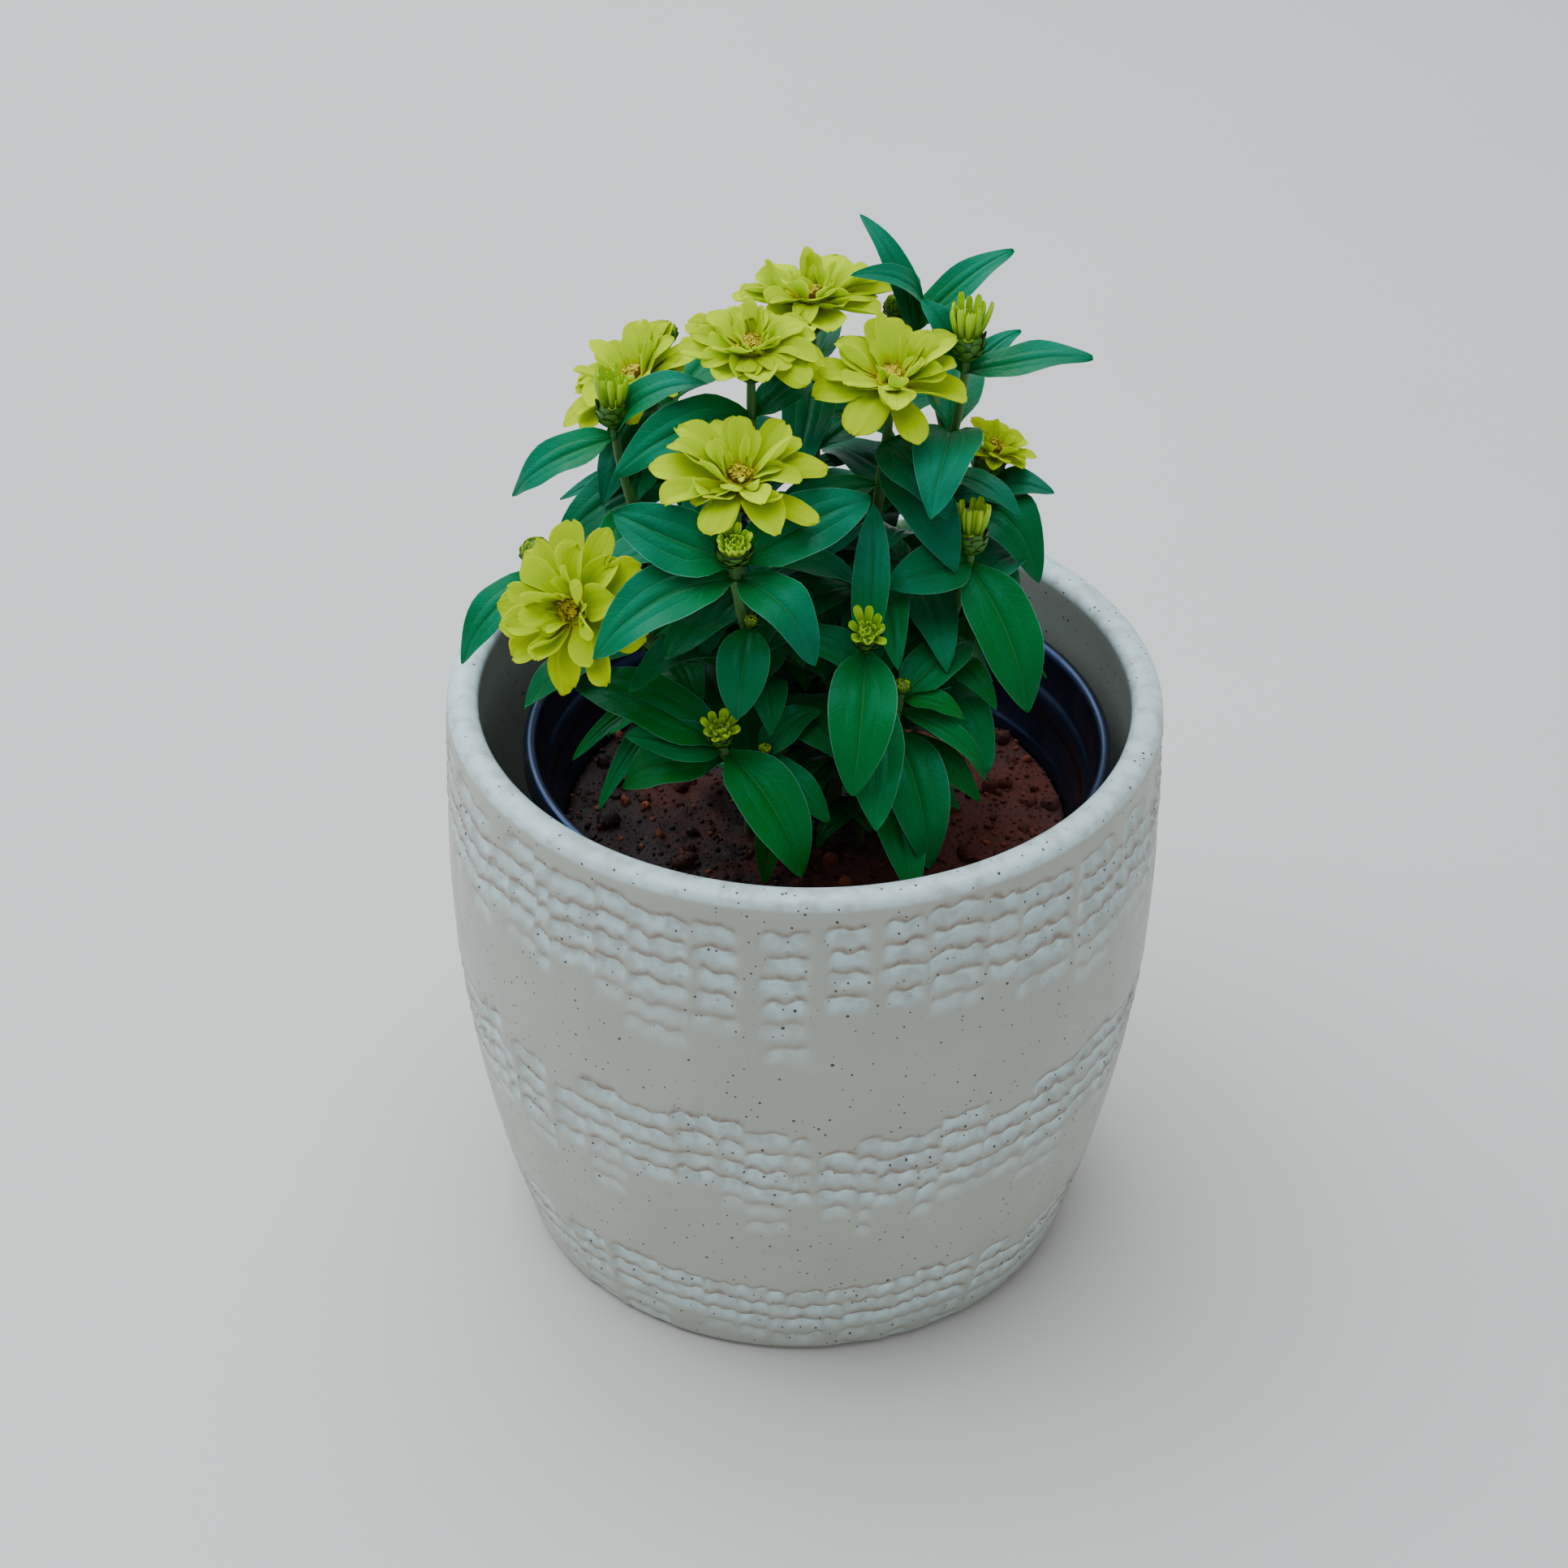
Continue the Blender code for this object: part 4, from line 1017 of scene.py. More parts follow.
def finished(material, node, colour, coats, rough, relief=(), **more):
    """Ends a material: coats over its colour, each by its share, its roughness and its relief.

    The relief gives a height, how many millimetres deep it is, and its strength.
    """
    for share, coat in coats:
        colour = node("Mix", share, colour, coat, data_type="RGBA")
    inputs = {name.replace("_", " "): value for name, value in more.items()}
    if relief:
        height, depth, strength = relief
        bump = {"Height": height, "Distance": MM * depth, "Strength": strength}
        inputs["Normal"] = node("Bump", bump)
    node("OutputMaterial", node("BsdfPrincipled", {"Base Color": colour, "Roughness": rough, **inputs}))
    return material


def glow(weight, radius, depth=1):
    """Light that goes in on one side and comes out on another, some millimetres off."""
    return {"Subsurface_Weight": weight, "Subsurface_Radius": radius, "Subsurface_Scale": MM * depth}


def glaze_material(look):
    """Stoneware under a satin oatmeal glaze: iron specks, pale pools in hollows that are partly a painted
    highlight, a brown break on edges with painted shade under the lips.
    """
    material, node, spot = new_surface("satin_oatmeal_glaze")
    coats = [(clouds(node, spot, 34, 3), look.glaze_shade)]
    for name, span, patches, coat in (
        # Pooled glaze, and a painted highlight on each scoop's upward-facing floor
        ("pool", (0, 1, 0, 0.85), (6, 2, 0.4, 1, (0.36, 0.58)), look.glaze_pool),
        # A brown glaze break, and a painted shade under each lip
        ("lip", (0.1, 0.75, 0, 0.95), (3, 3, 0.4, 1, (0.34, 0.58)), look.glaze_break),
    ):
        share = node("MapRange", node("Attribute", attribute_name=name), *span)
        share = node("Math MULTIPLY", share, clouds(node, spot, *patches))
        coats.append((share, coat))
    # Specks are round spots in some cells of three grids, each with its own radius
    specks = ((3.2, 0.36, 0.74, 0.9), (4.6, 0.41, 0.72, 0.92), (10, 0.52, 0.5, 0.95))
    for spacing, radius, share, strength in specks:
        cells = node("TexVoronoi", spot, per_mm(spacing))
        chance = node("SeparateColor", cells.outputs["Color"]).outputs
        grow = radius / spacing
        reach = node("Math MULTIPLY_ADD", chance[1], grow, 0.4 * grow)
        inside = node("Math LESS_THAN", cells, reach)
        chosen = node("Math LESS_THAN", chance[0], share)
        speck = node("Math MULTIPLY", inside, chosen)
        coats.append((node("Math MULTIPLY", speck, strength), look.speck))
    rough = clouds(node, spot, 12, 2, 0.3, 0.42)
    # The glaze settles in faint waves of a few millimetres
    wave = node("TexNoise", spot, per_mm(5), 2)
    return finished(material, node, look.glaze, coats, rough, (wave, 0.08, 0.6))


def nursery_material(look):
    """Blown black polypropylene: a satin gloss, a faint blue in its black as a painted sky reflection,
    dusty in places, with fine rings from its mould.
    """
    material, node, spot = new_surface("blown_black_polypropylene")
    coats = [(clouds(node, spot, 9, 5, 0, 0.3, (0.54, 0.78)), look.dust)]
    rough = clouds(node, spot, 14, 4, 0.2, 0.38)
    flat = node("Mapping", spot, {"Scale": (0.12, 0.12, 1)})
    rings = node("TexNoise", flat, per_mm(1.5), 2)
    gloss = {"Specular_IOR_Level": 0.8, "Specular_Tint": look.plastic_gloss}
    # The faint blue in the black is a painted sky reflection
    return finished(material, node, look.plastic, coats, rough, (rings, 0.1, 0.5), **gloss)


def soil_material(look):
    """Damp laterite: iron-red clay crumbs, darker in wet patches and, as painted shade, towards the left,
    with a few ochre grains.
    """
    material, node, spot = new_surface("damp_laterite")
    cloud = node("TexNoise", spot, per_mm(24), 4)
    # Painted shade: the soil darkens towards its left side
    across = node("SeparateXYZ", spot).outputs["X"]
    left_painted_shade = node("MapRange", across, MM * -90, MM * 60, -0.2, 0.1)
    damp_and_painted_shade = node("Math ADD", cloud, left_painted_shade)
    patch = node("MapRange", damp_and_painted_shade, 0.4, 0.62)
    grain = node("Math MULTIPLY", clouds(node, spot, 1.6, 4, 0, 0.5, (0.35, 0.7)), patch)
    clod = node("MapRange", node("Attribute", attribute_name="tone"), 0.8, 1, 0, 0.8)
    coats = ((patch, look.soil), (grain, look.soil_red), (clod, look.soil_ochre))
    rough = node("MapRange", damp_and_painted_shade, 0.35, 0.65, 0.6, 0.92)
    relief = (node("TexNoise", spot, per_mm(1.1), 5), 0.6, 0.8)
    return finished(material, node, look.soil_wet, coats, rough, relief, Specular_IOR_Level=0.3)


def leaf_material(look):
    """Zinnia leaf: waxy satin green with three pale veins, a thin pale margin and a lighter back, and a
    painted bluish sky sheen towards the tips of the upper leaves.
    """
    material, node, spot = new_surface("waxy_zinnia_leaf")
    _, side, along = blade_axes(node)
    patch = clouds(node, spot, 17, 3)
    # Painted sky sheen: a leaf is bluish towards its tip, and a plain green near its foot and all over
    # where it is shaded
    tone = node("Attribute", attribute_name="tone")
    foot = node("MapRange", along, 0, 0.75, 0.95, 0)
    plain = node("Math MAXIMUM", foot, tone, use_clamp=True)
    # Fine veins slant from the midrib to the margin
    slant = node("Math MULTIPLY_ADD", side, -5.5, node("Math MULTIPLY", along, 34))
    ripple = node("Math ABSOLUTE", node("Math SINE", slant))
    net = node("MapRange", ripple, 0, 0.22, 1, 0)
    # Side veins leave the midrib at the base, run beside the margin and fade before the tip
    track = node("MapRange", along, 0, 0.34, 0, 0.46)
    off = node("Math ABSOLUTE", node("Math SUBTRACT", side, track))
    fade = node("MapRange", along, 0.55, 0.85, 1, 0)
    side_vein = node("Math MULTIPLY", node("MapRange", off, 0, 0.045, 1, 0), fade)
    width = node("MapRange", along, 0, 1, 0.085, 0.03)
    rib = node("MapRange", node("Math DIVIDE", side, width), 0.35, 1, 1, 0)
    # The bluish green of the patches is partly a painted sky sheen
    coats = [(patch, look.leaf), (plain, look.leaf_fresh)]
    # Veins are pressed in, and the skin is finely grained
    groove = node("TexNoise", spot, per_mm(1.2), 2)
    for mark, strength, depth in ((net, 0.04, -0.3), (side_vein, 0.1, -0.6), (rib, 0.28, -1)):
        coats.append((node("Math MULTIPLY", mark, strength), look.vein))
        groove = node("Math MULTIPLY_ADD", mark, depth, groove)
    coats.append((node("MapRange", side, 0.965, 1, 0, 0.45), look.leaf_margin))
    under = node("Attribute", attribute_name="under")
    coats.append((node("Math MULTIPLY", under, 0.75), look.leaf_back))
    # A few old brown marks
    cells = node("TexVoronoi", spot, per_mm(24))
    coats.append((node("MapRange", cells, 0.022, 0.034, 0.7, 0), look.leaf_spot))
    rough = clouds(node, spot, 6, 3, 0.3, 0.46)
    gloss = {"Specular_IOR_Level": 0.32, "Specular_Tint": look.leaf_gloss}
    gloss |= glow(0.12, (0.2, 1, 0.1))
    return finished(material, node, look.leaf_deep, coats, rough, (groove, 0.22, 0.7), **gloss)


def stem_material(look):
    """Zinnia stem: ribbed, softly hairy and pale green, browner near the soil."""
    material, node, spot = new_surface("ribbed_zinnia_stem")
    height = node("SeparateXYZ", spot).outputs["Z"]
    low = node("MapRange", height, MM * 158, MM * 200, 0.75, 0)
    coats = ((node("TexNoise", spot, per_mm(6), 3), look.stem_shade), (low, look.stem_foot))
    ribs = node("Mapping", spot, {"Scale": (1, 1, 0.12)})
    relief = (node("TexNoise", ribs, per_mm(0.7), 2), 0.25, 0.8)
    down = {"Sheen_Weight": 0.2, "Sheen_Tint": look.stem_hair}
    return finished(material, node, look.stem, coats, 0.55, relief, **down)


def bract_material(look):
    """Bracts of the green cup: smooth scales with a papery, nearly black rim."""
    material, node, spot = new_surface("black_rimmed_bract")
    _, side, along = blade_axes(node)
    # The rim closes round the tip and follows the sides, out of reach of the foot
    tip = node("MapRange", along, 0.86, 0.95)
    upper = node("MapRange", along, 0.35, 0.6)
    edge = node("Math MULTIPLY", node("MapRange", side, 0.8, 0.94), upper)
    rim = node("Math MULTIPLY", node("Math MAXIMUM", tip, edge), 0.92)
    coats = ((along, look.bract_tip), (rim, look.bract_rim))
    relief = (node("TexNoise", spot, per_mm(0.8), 2), 0.1, 0.5)
    return finished(material, node, look.bract, coats, 0.5, relief)


def petal_material(look):
    """Zinnia ray: satin lemon yellow with fine lengthwise pleats, a paler end that is partly a painted
    highlight, a warm foot that is partly painted shade, greener behind.
    """
    material, node, spot = new_surface("satin_lemon_petal")
    axes, _, along = blade_axes(node)
    # Pleats run along the petal, about a millimetre apart
    pleat = node("Math SINE", node("Math MULTIPLY", axes, 36))
    under = node("Attribute", attribute_name="under")
    coats = (
        (node("Attribute", attribute_name="tone"), look.petal_deep),
        # A paler end, partly a painted highlight where the sky lights it
        (node("MapRange", along, 0.55, 1, 0, 0.5), look.petal_tip),
        # A warm, darker foot, partly painted shade deep in the bloom
        (node("MapRange", along, 0.02, 0.34, 0.95, 0), look.petal_foot),
        (node("MapRange", pleat, 0.2, 1, 0, 0.06), look.petal_foot),
        (node("Math MULTIPLY", under, 0.6), look.petal_back),
    )
    rough = clouds(node, spot, 4, 2, 0.42, 0.58)
    crinkle = node("TexNoise", spot, per_mm(1), 2)
    height = node("Math MULTIPLY_ADD", crinkle, 0.5, pleat)
    shine = {"Specular_IOR_Level": 0, **glow(0.8, (1, 1, 0.3), 1.5)}
    return finished(material, node, look.petal, coats, rough, (height, 0.05, 0.5), **shine)


def bud_petal_material(look):
    """Young rays that are still rolled up: lime green, deeper towards their feet."""
    material, node, spot = new_surface("young_lime_petal")
    _, _, along = blade_axes(node)
    tone = node("Math MULTIPLY", node("Attribute", attribute_name="tone"), 0.4)
    coats = ((node("MapRange", along, 0.05, 0.75), look.bud_tip), (tone, look.bud_foot))
    relief = (node("TexNoise", spot, per_mm(0.9), 2), 0.1, 0.5)
    return finished(material, node, look.bud_foot, coats, 0.5, relief, **glow(0.2, (0.7, 0.9, 0.1)))


def disc_material(look):
    """Disc florets: tiny golden stars over a warm brown base that is also painted shade between them."""
    material, node, spot = new_surface("golden_disc_floret")
    ripe = node("MapRange", node("Attribute", attribute_name="tone"), 0.7, 1)
    relief = (node("TexNoise", spot, per_mm(0.6), 2), 0.1, 0.6)
    # The brown base is partly painted shade between the florets
    return finished(material, node, look.disc_base, [(ripe, look.disc_star)], 0.6, relief)


def floor_material(look):
    """The studio floor: a plain, pale, matt card."""
    material, node, spot = new_surface("pale_matt_card")
    shade = clouds(node, spot, 180, 2, 0, 0.25)
    return finished(material, node, look.floor, [(shade, look.floor_shade)], 0.9)


# Settings


def number(name, description, default, kind=FloatProperty, **settings):
    return kind(name=name, description=description, default=default, **settings)


def length(name, description, default):
    return number(name, description, MM * default, unit="LENGTH", precision=5)


def colour(name, description, code):
    settings = {"size": 4, "min": 0, "max": 1, "subtype": "COLOR"}
    return number(name, description, tint(code), FloatVectorProperty, **settings)


class ZinniaPlantSettings(bpy.types.PropertyGroup):
    leaf_thickness: length("Leaf thickness", "How thick a leaf is", 0.5)
    petal_thickness: length("Petal thickness", "How thick a petal is", 0.25)
    # Partly a painted bluish sky sheen
    leaf: colour("Leaf", "A grown leaf's green", "#006E4C")
    leaf_deep: colour("Deep leaf", "The green of a leaf's darker patches", "#005A34")
    # The plain green where no sky sheen is painted: leaf feet and shaded leaves
    leaf_fresh: colour("Fresh leaf", "The green of a young leaf", "#006416")
    leaf_back: colour("Leaf back", "The underside of a leaf", "#0E6A22")
    leaf_margin: colour("Leaf margin", "The thin line round a leaf", "#74B49A")
    leaf_spot: colour("Leaf spot", "Small old marks on a leaf", "#4A2E14")
    vein: colour("Vein", "The midrib and side veins", "#4C9C5C")
    stem: colour("Stem", "A stem's green", "#4C7A2A")
    stem_shade: colour("Stem shade", "A stem's darker green", "#2E6A2A")
    stem_hair: colour("Stem hair", "The down on a stem", "#DDEBC8")
    leaf_gloss: colour("Leaf gloss", "The tint of the wax's gloss", "#50B8BC")
    stem_foot: colour("Stem foot", "A stem near the soil", "#4A3A1C")
    bract: colour("Bract", "The green of the cup's scales", "#24560E")
    bract_tip: colour("Bract tip", "The scales just below their rim", "#4A8412")
    bract_rim: colour("Bract rim", "The papery rim of a scale", "#14120C")
    petal: colour("Petal", "An open petal's yellow", "#B0CC00")
    petal_deep: colour("Deep petal", "The yellow of the greener petals", "#9AB400")
    # Partly a painted highlight on the petals' ends
    petal_tip: colour("Petal tip", "The pale end of a petal", "#BAD800")
    # Partly painted shade at the petals' feet
    petal_foot: colour("Petal foot", "The warm foot of a petal", "#B49000")
    petal_back: colour("Petal back", "The underside of a petal", "#A2BE00")
    bud_foot: colour("Bud petal foot", "A young petal's foot", "#629200")
    bud_tip: colour("Bud petal tip", "A young petal's end", "#BEE000")
    # A warm brown, partly painted shade between the florets
    disc_base: colour("Disc base", "Between the florets", "#6A4400")
    disc_star: colour("Disc floret", "The florets' golden stars", "#D2BC00")


class ZinniaPotSettings(bpy.types.PropertyGroup):
    scoop_depth: length("Scoop depth", "How deep the scoops are pressed", 2.3)
    glaze: colour("Glaze", "The glaze on the wall", "#AEB0A2")
    glaze_shade: colour("Glaze shade", "The glaze's darker clouds", "#A6A89A")
    # The pools' pale colour is pooled glaze and a painted highlight
    glaze_pool: colour("Pooled glaze", "The glaze where it pools", "#DCF6F6")
    # The lips' brown is a glaze break and a painted shade under each lip
    glaze_break: colour("Glaze break", "The glaze where it thins over an edge", "#8C7868")
    speck: colour("Speck", "Iron specks in the glaze", "#2A1B12")
    # Its faint blue is a painted sky reflection
    plastic: colour("Nursery pot", "The black plastic", "#0C1018")
    plastic_gloss: colour("Plastic gloss", "The tint of the plastic's gloss", "#8CB4FF")
    dust: colour("Dust", "Dried soil on the plastic", "#3A2A22")
    soil: colour("Soil", "Laterite soil", "#4C261C")
    # Wet soil, and also the painted shade on the soil's left side
    soil_wet: colour("Wet soil", "Laterite soil where it is wet", "#24120A")
    soil_red: colour("Red soil", "The redder grains", "#743626")
    soil_ochre: colour("Ochre grain", "A few ochre grains", "#9C4C2E")
    clods: number("Clod seed", "Which way the clods fall", 4, IntProperty)


class ZinniaStageSettings(bpy.types.PropertyGroup):
    floor: colour("Floor", "The plain floor", "#DAD2C8")
    floor_shade: colour("Floor shade", "Its faint clouds", "#D2CAC0")
    sky: colour("Sky", "The light from all round", "#DAE6F4")
    sky_strength: number("Sky strength", "How bright the soft light is", 0.48)
    overhead: number("Overhead", "Power of the large soft light in watts", 100)


# Fine shapes


def fine_shape(collection, columns, rows, half, height, sway=None, tip=None):
    """One flat-backed unit blade: 1 long, 1 to each side, with its own form added on.

    half(t) is its half width, height(u, t) its relief in half widths, sway(t) its side bend and
    tip(u) how far the end of each column falls short.
    """
    spots = [(u, t) for t in rows for u in columns]
    points = []
    for u, t in spots:
        x = u * half(t) + (sway(t) if sway else 0)
        points.append((x, t - (tip(u) * t**6 if tip else 0), height(u, t)))
    across = len(columns)
    faces = []
    for j in range(0, across * (len(rows) - 1), across):
        faces += [(i, i + 1, i + across + 1, i + across) for i in range(j, j + across - 1)]
    mesh = new_mesh(f"{collection.name}_{len(collection.objects):02d}", points, faces, unit=1)
    layer = mesh.uv_layers.new(name="UVMap")
    store(mesh, "along", "FLOAT", [t for _, t in spots])
    store(mesh, "edge", "FLOAT", [max(abs(u) ** 4, t**12) for u, t in spots])
    for loop in mesh.loops:
        u, t = spots[loop.vertex_index]
        layer.data[loop.index].uv = ((u + 1) / 2, t)
    object_of(mesh, collection)


def between(count, low=0, high=1):
    return [low + (high - low) * i / (count - 1) for i in range(count)]


def leaf_shapes(collection):
    """Leaves with three grooves for their veins, quilted between them, each with its own waves."""
    right = (0.12, 0.3, 0.42, 0.5, 0.66, 0.86, 1)
    columns = (*(-u for u in reversed(right)), 0, *right)
    rows = (0, 0.03, 0.08, 0.14, 0.21, 0.29, 0.37, 0.45, 0.53, 0.61, 0.69, 0.76, 0.83, 0.89)
    rows += (0.935, 0.968, 0.989, 1)
    rng = random.Random(SEEDS["leaf shapes"])

    def half(t):
        s = min(t, 1) ** 0.82
        full = max(4 * s * (1 - s), 0) ** 0.72
        foot = 0.17 * (1 - smooth(0, 0.14, t))
        return max(full * (0.5 + 0.5 * smooth(-0.05, 0.2, t)), foot, 0.035)

    for _ in range(LEAF_SHAPES):
        phase = [rng.uniform(0, tau) for _ in range(3)]
        pace = [rng.uniform(1.4, 2.4) for _ in range(2)]
        wave = rng.uniform(0.05, 0.12)
        fold = rng.uniform(0.12, 0.24)
        droop = rng.uniform(0.1, 0.4)
        bend = rng.uniform(-0.16, 0.16)
        roll = rng.uniform(-0.1, 0.1)

        def height(u, t):
            wide = half(t)
            side = abs(u)
            lift = fold * side * wide + 0.55 * (1 - smooth(0, 0.2, t)) * side * side * wide
            lift -= 0.075 * exp(-((u / 0.09) ** 2)) * wide * (1 - t)
            track = 0.45 * smooth(0, 0.3, t)
            lift -= 0.03 * exp(-(((side - track) / 0.07) ** 2)) * (1 - smooth(0.6, 0.9, t))
            lift += 0.05 * sin(pi * min(side / 0.45, 1)) * wide
            part = 0 if u < 0 else 1
            beat = sin(tau * pace[part] * t + phase[part])
            lift += wave * beat * side**2.2 * smooth(0.05, 0.3, t)
            lift += 0.05 * sin(tau * 1.1 * t + phase[2]) * wide
            lift -= droop * smooth(0.7, 1, t) ** 1.5
            return lift + roll * u * t

        fine_shape(collection, columns, rows, half, height, lambda t: bend * sin(pi * t))


def petal_shapes(collection):
    """Rays with a narrow foot and a broad round end that cups, curls or ruffles, each in its own way."""
    rows = (0, 0.07, 0.15, 0.24, 0.33, 0.43, 0.53, 0.63, 0.72, 0.8, 0.87, 0.92, 0.957, 0.983, 1)
    rng = random.Random(SEEDS["petal shapes"])
    for _ in range(PETAL_SHAPES):
        cup = rng.choice((0.15, 0.3, 0.42, 0.55, -0.12))
        curl = rng.choice((-0.4, -0.2, 0, 0.25, 0.45))
        ruffle = rng.uniform(0.01, 0.06)
        pace = rng.uniform(1.2, 2.1)
        phase = [rng.uniform(0, tau) for _ in range(3)]
        notch = rng.choice((0, 0.015, 0.03, 0.045))
        bend = rng.uniform(-0.2, 0.2)
        pleat = rng.uniform(0.012, 0.028)
        widest = rng.uniform(0.6, 0.74)

        def half(t):
            if t < widest:
                return 0.2 + 0.8 * sin(0.5 * pi * t / widest) ** 1.15
            over = (t - widest) / (1 - widest)
            return max(sqrt(max(1 - over**2.3, 0)), 0.28)

        def height(u, t):
            square = u * u * half(t)
            lift = cup * square * smooth(0.05, 0.5, t)
            lift += 0.6 * square * (1 - smooth(0, 0.35, t))
            lift += pleat * cos(tau * 1.5 * u + 0.3 * phase[2]) * smooth(0.1, 0.5, t)
            beat = sin(tau * pace * t + phase[0 if u < 0 else 1])
            lift += ruffle * beat * abs(u) ** 2.5 * smooth(0.3, 0.7, t)
            lift += 0.6 * ruffle * sin(3.6 * u + phase[2]) * smooth(0.78, 1, t)
            return lift + curl * smooth(0.5, 1, t) ** 1.4

        def tip(u):
            return notch * exp(-((u / 0.4) ** 2)) + 0.025 * u * u

        fine_shape(collection, between(13, -1), rows, half, height, lambda t: bend * t * t, tip)


def rolled_shapes(collection):
    """Young rays, rolled lengthwise like a gutter, with a split end."""
    rng = random.Random(SEEDS["rolled shapes"])

    def half(t):
        return 0.66 + 0.34 * smooth(0.1, 0.7, t) - 0.5 * smooth(0.84, 1, t)

    for _ in range(SMALL_SHAPES):
        roll = rng.uniform(0.75, 1.1)
        notch = rng.uniform(0.01, 0.05)
        flare = rng.uniform(0.1, 0.35)

        def height(u, t):
            return roll * u * u * (1 - flare * smooth(0.6, 1, t))

        def tip(u):
            return notch * exp(-((u / 0.3) ** 2))

        fine_shape(collection, between(9, -1), between(9), half, height, None, tip)


def bract_shapes(collection):
    """Scales of the green cup, rounded at the end, hugging the cup with their sides."""
    rows = (0, 0.2, 0.4, 0.58, 0.72, 0.84, 0.93, 1)
    rng = random.Random(SEEDS["bract shapes"])

    def half(t):
        if t < 0.45:
            return 0.84 + 0.16 * sin(pi * t / 0.9)
        return max(sqrt(max(1 - ((t - 0.45) / 0.56) ** 2, 0)), 0.2)

    for _ in range(SMALL_SHAPES):
        lift_end = rng.uniform(0, 0.12)

        def height(u, t):
            return 0.1 - 0.34 * (u * half(t)) ** 2 + 0.1 * t + lift_end * t * t

        fine_shape(collection, between(7, -1), rows, half, height)


def floret_shapes(collection):
    """A floret open as a five-rayed star on its tube, a closed one, and a split one."""
    for k, (rays, spread, tube_top) in enumerate(((5, 1, 1.5), (5, 0.3, 1.1), (4, 0.75, 1.7))):
        count = 2 * rays
        star = []
        for i in range(count):
            ray = i % 2
            reach = 0.46 + (spread if ray else 0.12) if spread >= 0.5 else 0.3
            lift = tube_top + (0.28 if ray else 0.05) + (0.5 if spread < 0.5 and ray else 0)
            star.append((reach, lift))
        rings = [[(0.32, -0.6)] * count, [(0.36, 0.6 * tube_top)] * count, [(0.46, tube_top)] * count, star]
        points = [circle(tau * i / count, *ring[i]) for ring in rings for i in range(count)]
        faces = ring_faces(3, count)
        last = 3 * count
        for i in range(count):
            after = (i + 1) % count
            faces += [(last + i, last + after, last + count), (after, i, last + count + 1)]
        points += [(0, 0, tube_top - 0.25), (0, 0, -0.6)]
        object_of(new_mesh(f"floret_shape_{k}", points, faces, unit=1), collection)


def clod_shapes(collection, detail):
    """Five clods: blunt, broken lumps a unit across."""
    rng = random.Random(SEEDS["clod shapes"])
    for k in range(CLOD_SHAPES):
        work = bmesh.new()
        bmesh.ops.create_icosphere(work, subdivisions=detail, radius=0.5)
        dents = [Vector([rng.gauss(0, 1) for _ in range(3)]).normalized() for _ in range(7)]
        squash = Vector((rng.uniform(0.8, 1.2), rng.uniform(0.7, 1.1), rng.uniform(0.55, 0.85)))
        for vert in work.verts:
            spot = vert.co.copy()
            for dent in dents:
                over = spot.dot(dent) - 0.36
                if over > 0:
                    spot -= 0.85 * over * dent
            vert.co = spot * (1 + rng.uniform(-0.05, 0.05)) * squash
        mesh = bpy.data.meshes.new(f"clod_shape_{k}")
        work.to_mesh(mesh)
        work.free()
        object_of(mesh, collection)


# Placing

# A row is where a fine blade stands: its root and tip, half its width, its normal, its rise and
# twist, which of the shapes it has, and its tone
Row = namedtuple("Row", "root tip half normal rise twist shape tone")


def blades_mesh(rows, shapes, thickness, material):
    """The fine blades that stand in these rows, as one mesh."""
    columns = {name: [] for name in ("turn", "size", "rise", "root", "chord", "twist", "shape", "tone")}
    for row in rows:
        chord = row.tip - row.root
        ahead = chord.normalized()
        side = ahead.cross(row.normal).normalized()
        turn = Matrix((side, ahead, side.cross(ahead))).transposed().to_quaternion()
        columns["turn"].append(tuple(turn))
        columns["size"].append(tuple(MM * Vector((row.half, chord.length, row.half))))
        columns["rise"].append(tuple(MM * row.rise))
        columns["root"].append(tuple(MM * row.root))
        columns["chord"].append(tuple(turn @ Vector((0, 1, 0))))
        for name in ("twist", "shape", "tone"):
            columns[name].append(getattr(row, name))
    mesh = new_mesh("roots", columns["root"], unit=1)
    kinds = {"turn": "QUATERNION", "twist": "FLOAT", "shape": "INT", "tone": "FLOAT"}
    for name, values in columns.items():
        store(mesh, name, kinds.get(name, "FLOAT_VECTOR"), values)
    values = {"Shapes": shapes, "Thickness": thickness, "Material": material}
    return baked(mesh, blades_tree(), values)


def blade_rows(blades, shapes, rng, shade, widths=(1, 1)):
    """Rows for leaves or petals that have grown, their arch as a rise along their normal."""
    rows = []
    for blade in blades:
        rise = blade.arch * (blade.tip - blade.root).length * blade.normal
        tone = shade(blade) + rng.uniform(-0.3, 0.3)
        shape = rng.randrange(shapes)
        half = blade.half * rng.uniform(*widths)
        rows.append(Row(blade.root, blade.tip, half, blade.normal, rise, blade.twist, shape, tone))
    return rows


def leaf_tone(blade):
    """Low leaves stand in the others' shade, and are a plain deep green without the painted sky sheen."""
    return 1 - float(smooth(*SHADE_HEIGHTS, 0.5 * (blade.root.z + blade.tip.z)))


